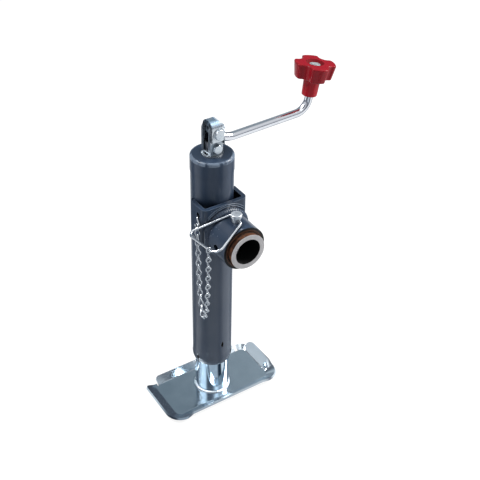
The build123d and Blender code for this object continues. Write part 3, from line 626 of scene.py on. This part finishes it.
@dataclass(frozen=True)
class RedPlastic:
    """Moulded red plastic, rubbed slightly paler on its edges and dull in its dish, with painted
    shade in its dish and crevices and painted light below its head.
    """

    base: Colour = (0.255, 0.003, 0.010)
    faded: Colour = (0.40, 0.014, 0.022)
    # Painted shade in crevices and in the dish.
    hollow: Colour = (0.080, 0.002, 0.004)
    # Painted light: a lighter red below the knob's head.
    stem: Colour = (0.36, 0.005, 0.014)
    stem_top: float = 427.0
    dish_centre: Flat = (135.8, -5.0)
    dish_radius: float = 11.5
    dish_floor: float = 436.0
    roughness: float = 0.30

    def make(self) -> Material:
        """Makes the material.

        Returns:
            The material.
        """
        shade = Shade("red_plastic")
        clouds = shade.noise(11, 3)
        grain = shade.noise(0.7, 2, seed=4.0)
        edges = shade.edges(1.4, 2.5)
        base = shade.mixed(self.base, self.faded, clouds.rise(0.4, 0.8) * 0.2 + edges * 0.45)
        x, y, z = shade.place_mm()
        # Painted light: lighter below the knob's head.
        stem = (z - self.stem_top).rise(0.0, -4.0)
        along, across = x - self.dish_centre[0], y - self.dish_centre[1]
        within = (along * along + across * across) / self.dish_radius**2
        dish = within.rise(1.0, 0.8) * (z - self.dish_floor).rise(0.0, 1.0)
        base = shade.mixed(base, self.stem, stem * 0.9)
        # Painted shade in crevices, less below the head, from ambient occlusion.
        base = shade.mixed(base, self.hollow, shade.crevices(7) * 0.9 * (1 - stem * 0.8))
        # Painted shade in the dish round the disc.
        base = shade.mixed(base, self.hollow, dish * 0.5)
        return shade.finish(
            Base_Color=base,
            Roughness=self.roughness + grain * 0.12 + edges * 0.08 + dish * 0.5,
            Specular_IOR_Level=0.2,
            Coat_Weight=(1 - dish) * 0.12,
            Coat_Roughness=0.10,
            Normal=shade.bump(grain + clouds, 0.03),
        )


class Finish(Enum):
    """The jack's finishes, each with what makes it."""

    ENAMEL = BakedEnamel()
    ZINC = ZincPlate("zinc", reach_mm=11)
    MIRROR_ZINC = ZincPlate(
        "mirror_zinc", (0.50, 0.62, 0.72), (0.66, 0.78, 0.88), polish=0.05, mottle=0.05,
        mottle_mm=14, depth_mm=0.006,
    )
    # Painted light: lighter towards +X.
    TRAY_ZINC = ZincPlate(
        "tray_zinc", (0.50, 0.59, 0.66), (0.84, 0.93, 0.99), polish=0.14, mottle=0.06,
        mottle_mm=22, grain=0.03, painted_light_drift=0.8,
    )
    SATIN_ZINC = ZincPlate(
        "satin_zinc", (0.72, 0.76, 0.79), (0.90, 0.93, 0.96), polish=0.38, mottle=0.1, mottle_mm=3
    )
    DISC_ZINC = ZincPlate(
        "disc_zinc", (0.46, 0.50, 0.51), (0.54, 0.57, 0.58), polish=0.60, mottle=0.05,
        depth_mm=0.005, reach_mm=1.5,
    )
    # Painted reflection of blue sky on its top, and painted shade at its rear end.
    HEAD_ZINC = ZincPlate(
        "head_zinc", (0.62, 0.70, 0.77), (0.90, 0.94, 0.97), polish=0.20, mottle=0.16,
        mottle_mm=6, reach_mm=9, painted_sky_from=403,
    )
    WIRE_ZINC = ZincPlate(
        "wire_zinc", (0.70, 0.74, 0.78), (0.92, 0.94, 0.97), polish=0.12, mottle=0.08,
        mottle_mm=4, depth_mm=0.01,
    )
    ROD = BrightRod()
    PIPE = SawnPipe()
    GROUND = GroundSteel("ground_steel")
    # The lead screw is painted dark for the shade in the clevis gap, as well as for its grease.
    OILED_AND_SHADED = GroundSteel("oiled_and_shaded_screw", base=(0.13, 0.14, 0.16), grease=(0.04, 0.036, 0.032))
    RED = RedPlastic()


class Workshop:
    """Makes each finish once and puts it on pieces."""

    def __init__(self) -> None:
        """Starts with no finish made."""
        self.made: dict[Finish, Material] = {}

    def dress(self, piece: Object, finish: Finish) -> None:
        """Gives a piece its finish.

        Args:
            piece: The object.
            finish: The finish.
        """
        if finish not in self.made:
            self.made[finish] = finish.value.make()
        piece.data.materials.clear()
        piece.data.materials.append(self.made[finish])

    def add(
        self, name: str, mesh: BMesh, finish: Finish, body: str, slot: str, node: str
    ) -> Object:
        """Makes a piece of a finished bmesh.

        Args:
            name: The piece's name.
            mesh: Its shape, in millimetres, where it belongs.
            finish: Its finish.
            body: The body that it rides on.
            slot: The record's material slot; not used.
            node: The CAD node that it stands for.

        Returns:
            The piece.
        """
        bmesh.ops.transform(mesh, matrix=Matrix.Scale(MM, 4), verts=mesh.verts)
        data = bpy.data.meshes.new(name)
        mesh.to_mesh(data)
        mesh.free()
        data.shade_smooth()
        piece = bpy.data.objects.new(name, data)
        bpy.context.scene.collection.objects.link(piece)
        self.dress(piece, finish)
        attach(piece, body)
        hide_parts(node)
        log.info("piece %s: %d faces on body %s", name, len(data.polygons), body)
        return piece


def profile(points: Sequence[Point]) -> BMesh:
    """Starts a bmesh from a few points joined in a closed row.

    Args:
        points: The points in order.

    Returns:
        The bmesh.
    """
    mesh = bmesh.new()
    verts = [mesh.verts.new(point) for point in points]
    for first, second in zip(verts, verts[1:] + verts[:1]):
        mesh.edges.new((first, second))
    return mesh


def whole(mesh: BMesh) -> list[Part]:
    """Everything in a bmesh."""
    return mesh.verts[:] + mesh.edges[:] + mesh.faces[:]


def ring_of(mesh: BMesh, axis: Vector, centre: Vector, steps: int) -> None:
    """Spins everything in a bmesh into a closed ring.

    Args:
        mesh: The profile, which is used up.
        axis: The axis of the ring.
        centre: A point on the axis.
        steps: Number of steps round.
    """
    bmesh.ops.spin(
        mesh, geom=whole(mesh), cent=centre, axis=axis, angle=FULL_TURN, steps=steps, use_merge=True
    )
    bmesh.ops.remove_doubles(mesh, verts=mesh.verts, dist=1e-4)
    bmesh.ops.recalc_face_normals(mesh, faces=mesh.faces)


def grow(
    mesh: BMesh, faces: list[BMFace], step: Point, keep: bool = False
) -> tuple[list[BMVert], list[BMFace]]:
    """Extrudes faces by one step.

    Args:
        mesh: The bmesh that they are in.
        faces: The faces.
        step: How far they move.
        keep: Whether they also stay behind, to close the end.

    Returns:
        The corners that moved, and the faces between them.
    """
    grown = bmesh.ops.extrude_face_region(mesh, geom=faces, use_keep_orig=keep)["geom"]
    moved = [part for part in grown if isinstance(part, BMVert)]
    bmesh.ops.translate(mesh, verts=moved, vec=step)
    return moved, [part for part in grown if isinstance(part, BMFace)]


def disc(mesh: BMesh, sides: int, radius: float, place: Matrix) -> list[BMFace]:
    """Adds a flat disc to a bmesh.

    Args:
        mesh: The bmesh.
        sides: Number of the disc's sides.
        radius: Its radius over the corners.
        place: Where it lies.

    Returns:
        Its face.
    """
    made = bmesh.ops.create_circle(mesh, cap_ends=True, segments=sides, radius=radius, matrix=place)
    return list({face for vert in made["verts"] for face in vert.link_faces})


def arc_points(start: Flat, end: Flat, crown: float, count: int) -> list[Flat]:
    """Points of a low arch from one point to another.

    Args:
        start: First point.
        end: Last point.
        crown: Height of the arch over the straight line.
        count: Number of runs.

    Returns:
        The points, both ends among them.
    """
    first, last = Vector(start), Vector(end)
    run = last - first
    up = Vector((run.y, -run.x)).normalized()
    shares = [index / count for index in range(count + 1)]
    heights = [up * (crown * math.sin(math.pi * share)) for share in shares]
    return [tuple(first + run * share + height) for share, height in zip(shares, heights)]


@dataclass
class WeldBeads:
    """The weld beads, each a row of overlapping ripples as the torch leaves them."""

    ram_radius: float = 22.2
    tray_top: float = 3.0
    foot_bead: float = 2.6
    sleeve_radius: float = 27.3
    sleeve_bead: float = 5.2
    web_face: float = WEB_FACE
    sleeve_level: float = SLEEVE_LEVEL
    bead_limit: float = 30.0
    tube_radius: float = 25.4
    arm_end: float = -2.0
    arm_half: float = 30.2
    arm_low: float = 266.0
    arm_high: float = 310.0
    arm_bead: float = 4.0
    ripple: float = 0.30
    hollow: float = 0.12
    root_reach: float = 1.2
    sunk: float = 0.3
    lift: float = 0.1
    runs: int = 7
    foot_crown: float = 0.5
    sleeve_crown: float = -0.9
    arm_crown: float = 0.5
    arm_short: float = 0.2
    foot_ripples: int = 58
    foot_steps: int = 320
    sleeve_ripples: int = 62
    sleeve_steps: int = 360
    arm_pitch: float = 2.2
    arm_steps: int = 110

    def _ripple(self, mesh: BMesh, trace: Callable[[Vector], Trace], pitch: float) -> None:
        """Sinks the bead's surface between its ripples.

        Args:
            mesh: The bead.
            trace: Gives how far along the bead a point is, in mm, and the corner beside it.
            pitch: Length of one ripple.
        """
        for vert in mesh.verts:
            far, root = trace(vert.co)
            away = vert.co - root
            wander = math.sin(far * 0.31) + math.sin(far * 0.13 + 1.0)
            phase = (far + 0.35 * away.length + 0.3 * wander) / pitch
            sink = self.ripple * (1 - abs(math.sin(math.pi * phase)))
            sink += self.hollow * (1 + wander / 2)
            if away.length > self.root_reach:
                vert.co -= away.normalized() * sink

    def foot(self) -> BMesh:
        """The bead round the ram's foot.

        Returns:
            The bead.
        """
        size, radius, low = self.foot_bead, self.ram_radius, self.tray_top
        start, end, inner = low + self.lift, low + size, radius - self.sunk
        curve = arc_points((radius + size, start), (radius, end), self.foot_crown, self.runs)
        section = [(inner, start), *curve, (inner, end)]
        mesh = profile([(x, 0, z) for x, z in section])
        ring_of(mesh, Vector((0, 0, 1)), Vector(), self.foot_steps)

        def trace(point: Vector) -> Trace:
            """How far round the ram a point is, and the ram's foot beside it."""
            corner = Vector((point.x, point.y, 0)).normalized() * radius + Vector((0, 0, low))
            return math.atan2(point.y, point.x) * radius, corner

        self._ripple(mesh, trace, FULL_TURN * radius / self.foot_ripples)
        return mesh

    def sleeve(self) -> BMesh:
        """The bead round the sleeve's root, cut off at the bracket's sides.

        Returns:
            The bead.
        """
        size, radius, face = self.sleeve_bead, self.sleeve_radius, self.web_face
        start, end, inner = face - self.lift, face - size, radius - self.sunk
        curve = arc_points((radius + size, start), (radius, end), self.sleeve_crown, self.runs)
        section = [(inner, start), *curve, (inner, end)]
        level, middle = self.sleeve_level, Vector((0, face, self.sleeve_level))
        mesh = profile([(x, y, level) for x, y in section])
        ring_of(mesh, Vector((0, 1, 0)), Vector((0, 0, level)), self.sleeve_steps)

        def trace(point: Vector) -> Trace:
            """How far round the sleeve a point is, and the sleeve's root beside it."""
            corner = Vector((point.x, 0, point.z - level)).normalized() * radius + middle
            return math.atan2(point.z - level, point.x) * radius, corner

        self._ripple(mesh, trace, FULL_TURN * radius / self.sleeve_ripples)
        for side in (-1, 1):
            place, outward = Vector((side * self.bead_limit, 0, 0)), Vector((side, 0, 0))
            cut = bmesh.ops.bisect_plane(
                mesh, geom=whole(mesh), plane_co=place, plane_no=outward, clear_outer=True
            )
            rim = [part for part in cut["geom_cut"] if isinstance(part, BMEdge)]
            bmesh.ops.holes_fill(mesh, edges=rim, sides=0)
        bmesh.ops.recalc_face_normals(mesh, faces=mesh.faces)
        return mesh

    def arms(self) -> BMesh:
        """The two upright beads where the bracket's arms end on the tube.

        Returns:
            The beads.
        """
        start, end = self.arm_end, self.arm_bead - self.arm_short
        outer, inner = self.arm_half - self.arm_short, self.tube_radius - self.arm_short * 2
        curve = arc_points((outer, start), (self.tube_radius, end), self.arm_crown, self.runs - 1)
        mesh = profile([(x, y, self.arm_low) for x, y in [(inner, start), *curve, (inner, end)]])
        face = bmesh.ops.contextual_create(mesh, geom=mesh.edges[:])["faces"]
        rise = (self.arm_high - self.arm_low) / self.arm_steps
        for index in range(self.arm_steps):
            _, face = grow(mesh, face, (0, 0, rise), index == 0)
        bmesh.ops.recalc_face_normals(mesh, faces=mesh.faces)

        def trace(point: Vector) -> Trace:
            """How far up a point is, and the corner between arm and tube beside it."""
            return point.z, Vector((self.tube_radius, self.arm_end, point.z))

        self._ripple(mesh, trace, self.arm_pitch)
        flip = Matrix.Identity(4)
        bmesh.ops.mirror(mesh, geom=whole(mesh), matrix=flip, merge_dist=0, axis="X")
        bmesh.ops.recalc_face_normals(mesh, faces=mesh.faces)
        return mesh

    def build(self, shop: Workshop) -> None:
        """Makes and dresses the three sets of beads.

        Args:
            shop: The workshop.
        """
        paint = (Finish.ENAMEL, "casing", "blue_grey_paint")
        shop.add("foot_weld_bead", self.foot(), Finish.ZINC, "ram", "zinc", "foot_weld")
        shop.add("sleeve_weld_bead", self.sleeve(), *paint, "sleeve_weld")
        shop.add("arm_weld_beads", self.arms(), *paint, "bracket_welds")


@dataclass
class ClevisBolt:
    """The hexagon bolt through the clevis, and its nut."""

    level: float = 375.0
    clevis_face: float = 9.9
    flats: float = 10.0
    head: float = 4.2
    nut: float = 5.0
    spare: float = 2.5
    radius: float = 3.0
    turn_deg: float = 12.0
    shank_sides: int = 28
    threads: int = 9
    thread_half: float = 0.4
    waist: float = 0.86
    tip: Flat = (0.3, 0.8)
    chamfer: float = 1.1
    land_inset: float = 0.35
    land_height: float = 0.25

    def _hexagon(self, start: float, end: float) -> BMesh:
        """A hexagon bar along Y.

        Args:
            start: Where it starts.
            end: Where it ends.

        Returns:
            The bar.
        """
        mesh = bmesh.new()
        corner = self.flats / 2 / math.cos(math.pi / 6)
        turned = Matrix.Rotation(math.radians(self.turn_deg), 4, "Y")
        placed = Matrix.Translation((0, start, self.level)) @ turned
        base = disc(mesh, 6, corner, placed @ Matrix.Rotation(math.radians(90), 4, "X"))
        grow(mesh, base, (0, end - start, 0), True)
        bmesh.ops.recalc_face_normals(mesh, faces=mesh.faces)
        return mesh

    def _crown(self, mesh: BMesh, outward: float, place: float) -> None:
        """Turns the outer end of a hexagon off to a round land, as a bolt maker does.

        Args:
            mesh: The hexagon bar.
            outward: Which way along Y the end faces.
            place: Where the end is.
        """

        def ends() -> list[BMFace]:
            """The faces at the end."""
            facing = [face for face in mesh.faces if face.normal.y * outward > 0.99]
            return [face for face in facing if abs(face.calc_center_median().y - place) < 0.01]

        corners = [vert for face in ends() for vert in face.verts]
        bmesh.ops.bevel(
            mesh, geom=corners, offset=self.chamfer, offset_type="OFFSET", segments=3, profile=0.5,
            affect="VERTICES", material=-1,
        )
        land = {"thickness": self.land_inset, "depth": self.land_height}
        bmesh.ops.inset_region(mesh, faces=ends(), **land)

    def bolt(self) -> BMesh:
        """The bolt: head, and a threaded end that stands out of the nut.

        Returns:
            The bolt.
        """
        outer = -self.clevis_face - self.head
        mesh = self._hexagon(outer, -self.clevis_face)
        self._crown(mesh, -1, outer)
        end = self.clevis_face + self.nut + self.spare
        turned = Matrix.Rotation(math.radians(-90), 4, "X")
        placed = Matrix.Translation((0, -self.clevis_face, self.level)) @ turned
        face = disc(mesh, self.shank_sides, self.radius, placed)
        thread = [(self.thread_half, self.waist), (self.thread_half, 1 / self.waist)]
        lengths = [(self.clevis_face * 2, 1.0), *thread * self.threads, self.tip]
        total = sum(length for length, _ in lengths)
        middle = Matrix.Translation((0, 0, -self.level))
        for length, swell in lengths:
            step = length * (end + self.clevis_face) / total
            moved, face = grow(mesh, face, (0, step, 0))
            bmesh.ops.scale(mesh, verts=moved, vec=(swell, 1, swell), space=middle)
        bmesh.ops.recalc_face_normals(mesh, faces=mesh.faces)
        return mesh

    def nut_ring(self) -> BMesh:
        """The nut, solid round the bolt, with its outer end turned off.

        Returns:
            The nut.
        """
        start, end = self.clevis_face, self.clevis_face + self.nut
        mesh = self._hexagon(start, end)
        self._crown(mesh, 1, end)
        return mesh

    def build(self, shop: Workshop) -> None:
        """Makes and dresses the bolt and the nut.

        Args:
            shop: The workshop.
        """
        ride = ("screw", "zinc")
        bolt = shop.add("clevis_hex_bolt", self.bolt(), Finish.HEAD_ZINC, *ride, "clevis_bolt")
        nut = shop.add("clevis_hex_nut", self.nut_ring(), Finish.ZINC, *ride, "clevis_nut")
        for piece in (bolt, nut):
            piece.data.set_sharp_from_angle(angle=math.radians(30))


@dataclass
class SafetyChain:
    """Chain of twisted links that hangs from the bracket's hook to the pin's bail."""

    start: Point = (-34.7, -23.6, 291.375)
    end: Point = (-45.0565, -65.5, 288.455)
    links: int = 18
    pitch: float = 14.0
    slack: float = 0.45
    wire: float = 1.7
    width: float = 7.2
    wire_points: int = 28
    wire_rounding: int = 2
    eye_skew: float = 0.85
    eye_fullness: float = 0.6
    crossing_half: float = 0.5
    twist_half: float = 0.45
    halvings: int = 60

    def slopes(self, span: float, climb: float) -> list[float]:
        """Slopes of equal links that hang from two ends.

        Args:
            span: Level distance between the ends.
            climb: How much higher the far end is.

        Returns:
            Each link's slope in radians.
        """

        def reach(middle: float, sag: float) -> tuple[list[float], float, float]:
            """The slopes for one pull, with how far and how high they lead."""
            angles = [math.atan2(sag * (index - middle), 1.0) for index in range(self.links)]
            across, up = sum(map(math.cos, angles)), sum(map(math.sin, angles))
            return angles, self.pitch * across, self.pitch * up

        low_middle, high_middle = 0.0, float(self.links)
        for _ in range(self.halvings):
            middle = (low_middle + high_middle) / 2
            low_sag, high_sag = 1e-3, 1e3
            for _ in range(self.halvings):
                sag = math.sqrt(low_sag * high_sag)
                angles, across, up = reach(middle, sag)
                low_sag, high_sag = (sag, high_sag) if across > span else (low_sag, sag)
            low_middle, high_middle = (middle, high_middle) if up > climb else (low_middle, middle)
        return angles

    def _link_data(self) -> bpy.types.Mesh:
        """One link of round wire, its eyes a quarter turn apart and the wire crossed between them.

        Returns:
            The link's mesh along X, in millimetres.
        """
        reach = (self.pitch + self.slack + self.wire) / 2
        half = (self.width - self.wire) / 2
        count = self.wire_points
        curve = bpy.data.curves.new("link_wire", "CURVE")
        curve.dimensions = "3D"
        curve.bevel_depth = self.wire / 2
        curve.bevel_resolution = self.wire_rounding
        curve.resolution_u = 1
        line = curve.splines.new("NURBS")
        line.points.add(count - 1)
        for index in range(count):
            around = FULL_TURN * index / count
            along = math.cos(around)
            out = abs(along)
            eye = math.sin(math.pi * out**self.eye_skew) ** self.eye_fullness if out < 1 else 0.0
            crossing = self.wire / 2 * (1 - out) if out < self.crossing_half else 0.0
            hand = math.copysign(1.0, math.sin(around)) if abs(math.sin(around)) > 1e-9 else 0.0
            aside = max(eye * half, crossing) * hand
            share = min(max((along / self.twist_half + 1) / 2, 0.0), 1.0)
            twist = math.pi / 2 * share * share * (3 - 2 * share)
            across, up = aside * math.sin(twist), aside * math.cos(twist)
            line.points[index].co = (along * reach, across, up, 1)
        line.use_cyclic_u = True
        line.order_u = 3
        holder = bpy.data.objects.new("link_wire", curve)
        data = bpy.data.meshes.new_from_object(holder)
        bpy.data.objects.remove(holder)
        return data

    def build(self, shop: Workshop) -> None:
        """Makes and dresses the chain.

        Args:
            shop: The workshop.
        """
        link = self._link_data()
        start, end = Vector(self.start), Vector(self.end)
        flat = (end - start) * Vector((1, 1, 0))
        heading = flat.normalized()
        side = Vector((-heading.y, heading.x, 0))
        mesh = bmesh.new()
        place = start
        for slope in self.slopes(flat.length, end.z - start.z):
            step = heading * math.cos(slope) + Vector((0, 0, math.sin(slope)))
            up = step.cross(side)
            placed = Matrix((step, up.cross(step), up)).transposed().to_4x4()
            placed.translation = place + step * (self.pitch / 2)
            before = len(mesh.verts)
            mesh.from_mesh(link)
            mesh.verts.ensure_lookup_table()
            bmesh.ops.transform(mesh, matrix=placed, verts=mesh.verts[before:])
            place = place + step * self.pitch
        bmesh.ops.recalc_face_normals(mesh, faces=mesh.faces)
        shop.add("chain_of_links", mesh, Finish.WIRE_ZINC, "casing", "zinc", "safety_chain")


class CadFinishes:
    """Dresses the CAD nodes that show as they are."""

    FINISHES: dict[Finish, tuple[str, ...]] = {
        Finish.ENAMEL: ("outer_tube", "tube_cap", "swivel_bracket", "swivel_sleeve"),
        Finish.MIRROR_ZINC: ("ram_tube",),
        Finish.TRAY_ZINC: ("foot_plate",),
        Finish.ZINC: ("crank_clevis", "pivot_clip", "pivot_spacer"),
        Finish.HEAD_ZINC: ("pivot_pin", "pivot_washer", "crank_hood"),
        Finish.SATIN_ZINC: ("lock_pin", "cap_washer"),
        Finish.DISC_ZINC: ("knob_washer",),
        Finish.WIRE_ZINC: ("pin_bail", "chain_hook"),
        Finish.ROD: ("crank_rod",),
        Finish.PIPE: ("mount_pipe",),
        Finish.GROUND: (
            "upper_race", "lower_race", "thrust_rollers", "screw_collar", "collar_pin", "drive_nut",
        ),
        Finish.OILED_AND_SHADED: ("lead_screw",),
        Finish.RED: ("knob",),
    }

    def build(self, shop: Workshop) -> None:
        """Puts each node's finish on it.

        Args:
            shop: The workshop.
        """
        for finish, nodes in self.FINISHES.items():
            for node in nodes:
                shop.dress(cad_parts[node], finish)
                log.info("node %s: %s", node, finish.name.lower())


@dataclass(frozen=True)
class SoftBox:
    """A square lamp: its bearing and height in degrees, distance and side in metres, and power."""

    name: str
    bearing: float
    height: float
    distance: float
    side: float
    watts: float


@dataclass
class Studio:
    """White table, soft boxes, the sky with its cards, and the camera."""

    eye: Point = (-0.46391, -0.74424, 0.88445)
    heading_deg: float = 31.94
    down_deg: float = 36.23
    sensor: float = 36.0
    lens: float = 67.15
    shift: float = 0.0581
    clip: Flat = (0.05, 20.0)
    table_half: float = 4.0
    paper: float = 0.9
    shadow_share: float = 0.2
    glow_spare: float = 0.11
    white: Colour = (1.0, 1.0, 1.0)
    table_pale: Colour = (0.92, 0.95, 0.98)
    table_grey: Colour = (0.50, 0.56, 0.62)
    table_dark: Colour = (0.022, 0.036, 0.056)
    sky_near: Colour = (0.66, 0.68, 0.71)
    sky_far: Colour = (0.24, 0.29, 0.33)
    sky_strip: Colour = (0.52, 0.57, 0.62)
    sky_low: Colour = (0.13, 0.14, 0.18)
    sky_light: Colour = (0.30, 0.31, 0.32)
    black_card: Colour = (0.07, 0.08, 0.105)
    white_card: Colour = (1.7, 1.75, 1.8)
    black_cards: tuple[Point, ...] = ((-118, 44, 21), (160, 13, 21), (-14, 42, 24))
    white_cards: tuple[Point, ...] = ((-60, 42, 17), (33, 42, 12))
    aim: float = 0.22
    boxes: tuple[SoftBox, ...] = (
        SoftBox("left_box", -92, 57, 2.0, 0.6, 27.0),
        SoftBox("right_box", 102, 36, 2.0, 0.7, 44.0),
        SoftBox("top_box", 10, 82, 2.4, 1.8, 6.0),
    )

    def view_line(self) -> Vector:
        """The direction that the camera looks in.

        Returns:
            The direction, of length 1.
        """
        turn, down = math.radians(self.heading_deg), math.radians(self.down_deg)
        level = math.cos(down)
        return Vector((math.sin(turn) * level, math.cos(turn) * level, -math.sin(down)))

    def camera(self) -> None:
        """Sets the camera up."""
        data = bpy.data.cameras.new("camera")
        data.sensor_width = self.sensor
        data.lens = self.lens
        data.shift_x = self.shift
        data.clip_start, data.clip_end = self.clip
        camera = bpy.data.objects.new("camera", data)
        camera.location = self.eye
        camera.rotation_mode = "QUATERNION"
        camera.rotation_quaternion = self.view_line().to_track_quat("-Z", "Y")
        bpy.context.scene.collection.objects.link(camera)
        bpy.context.scene.camera = camera

    def _bearing(self, nodes: Nodes, vector: NodeSocket) -> Value:
        """How far round from the camera's side a place or direction is.

        Args:
            nodes: The tree.
            vector: The place or direction.

        Returns:
            0 to 1, with 0.5 at the camera's side and more to its right.
        """
        turn = math.radians(self.heading_deg)
        x, y, _ = nodes.parts(vector)
        near = x * -math.sin(turn) - y * math.cos(turn)
        right = x * math.cos(turn) - y * math.sin(turn)
        return right.angle(near) / FULL_TURN + 0.5

    @staticmethod
    def _rays(nodes: Nodes) -> tuple[Value, ...]:
        """Tells rays apart.

        Args:
            nodes: The tree.

        Returns:
            1 for rays of the camera, for those off polish and for those through glass.
        """
        outputs = nodes.node("ShaderNodeLightPath").outputs
        kinds = ("Camera", "Glossy", "Transmission")
        return tuple(nodes.value(outputs[f"Is {kind} Ray"]) for kind in kinds)

    def floor(self) -> None:
        """Lays the white table, which polished steel sees with dark bands at some bearings."""
        mesh = bmesh.new()
        bmesh.ops.create_grid(mesh, x_segments=1, y_segments=1, size=self.table_half)
        data = bpy.data.meshes.new("table_top")
        mesh.to_mesh(data)
        mesh.free()
        table = bpy.data.objects.new("table_top", data)
        bpy.context.scene.collection.objects.link(table)
        nodes = Shade("white_table")
        bearing = self._bearing(nodes, nodes.coordinates())
        bands = nodes.node("ShaderNodeValToRGB", {"stops": self._bands()}, {0: bearing})
        camera, glossy, through = self._rays(nodes)
        shown = nodes.mixed(self.white, bands.outputs[0], glossy)
        strength = 1.0 + camera * self.glow_spare
        glow = nodes.node("ShaderNodeEmission", None, {"Color": shown, "Strength": strength})
        paper = nodes.node("ShaderNodeBsdfDiffuse", None, {"Color": opaque((self.paper,) * 3)})
        share = camera * (1 - self.shadow_share) + glossy + through
        sockets = {0: share, 1: paper.outputs[0], 2: glow.outputs[0]}
        mix = nodes.node("ShaderNodeMixShader", None, sockets)
        nodes.node("ShaderNodeOutputMaterial", None, {"Surface": mix.outputs[0]})
        data.materials.append(nodes.material)

    def _bands(self) -> list[tuple[float, Colour]]:
        """Stops of the table's bands, by bearing in degrees from the camera's side.

        Returns:
            Each stop's place, from 0 to 1, and its colour.
        """
        pale, grey, dark = self.table_pale, self.table_grey, self.table_dark
        bands = [
            (-180, pale), (-150, pale), (-134, grey), (-124, dark), (-104, dark), (-96, pale),
            (-70, pale), (-60, grey), (-50, dark), (-27, dark), (-16, grey), (28, grey),
            (38, dark), (53, dark), (60, pale), (112, pale), (122, dark), (130, dark),
            (138, grey), (155, pale), (180, pale),
        ]
        return [(angle / 360 + 0.5, colour) for angle, colour in bands]

    def world(self) -> None:
        """Makes the sky: white to the eye, grey with cards for polished steel, plain for light."""
        world = bpy.data.worlds.new("studio")
        world.use_nodes = True
        bpy.context.scene.world = world
        nodes = Nodes(world.node_tree)
        turn = math.radians(self.heading_deg)
        x, y, z = nodes.parts(nodes.coordinates("Generated"))
        far = x * math.sin(turn) + y * math.cos(turn)
        camera, glossy, through = self._rays(nodes)
        sky = nodes.mixed(self.sky_near, self.sky_far, far.rise(-0.1, 0.5))
        strip = z.rise(0.29, 0.33) * z.rise(0.46, 0.40)
        sky = nodes.mixed(sky, self.sky_strip, strip * 0.85)
        sky = nodes.mixed(sky, self.sky_low, z.rise(0.28, 0.12) * 0.9)
        kinds = ((self.black_cards, self.black_card), (self.white_cards, self.white_card))
        for cards, colour in kinds:
            for bearing, height, reach in cards:
                card = self.away(bearing, height)
                towards = x * card.x + y * card.y + z * card.z
                edge, core = (math.cos(math.radians(part)) for part in (reach, reach * 0.45))
                sky = nodes.mixed(sky, colour, towards.rise(edge, core) * 0.9)
        seen = nodes.mixed(self.white, sky, glossy)
        shown = nodes.mixed(self.sky_light, seen, camera + glossy + through)
        light = nodes.node("ShaderNodeBackground", None, {"Color": shown, "Strength": 1.0})
        nodes.node("ShaderNodeOutputWorld", None, {"Surface": light.outputs[0]})

    def away(self, bearing: float, height: float) -> Vector:
        """A direction from the jack.

        Args:
            bearing: Degrees to the right of the camera's side.
            height: Degrees above the table.

        Returns:
            The direction, of length 1.
        """
        turn, up = math.radians(self.heading_deg - bearing), math.radians(height)
        level = -math.cos(up)
        return Vector((math.sin(turn) * level, math.cos(turn) * level, math.sin(up)))

    def lamp(self, box: SoftBox) -> None:
        """Hangs a soft box that faces the jack.

        Args:
            box: The box.
        """
        away = self.away(box.bearing, box.height)
        data = bpy.data.lights.new(box.name, "AREA")
        data.shape = "SQUARE"
        data.size = box.side
        data.energy = box.watts
        lamp = bpy.data.objects.new(box.name, data)
        lamp.location = Vector((0, 0, self.aim)) + away * box.distance
        lamp.rotation_mode = "QUATERNION"
        lamp.rotation_quaternion = (-away).to_track_quat("-Z", "Y")
        bpy.context.scene.collection.objects.link(lamp)

    def build(self) -> None:
        """Sets the whole studio up."""
        self.camera()
        self.floor()
        self.world()
        for box in self.boxes:
            self.lamp(box)
        bpy.context.scene.view_settings.view_transform = "Standard"
        log.info("studio set up")


def main() -> None:
    """Dresses the jack and sets its studio up."""
    logging.basicConfig(level=logging.INFO, format="%(message)s")
    shop = Workshop()
    Studio().build()
    CadFinishes().build(shop)
    WeldBeads().build(shop)
    ClevisBolt().build(shop)
    SafetyChain().build(shop)


if __name__ == "__main__":
    main()
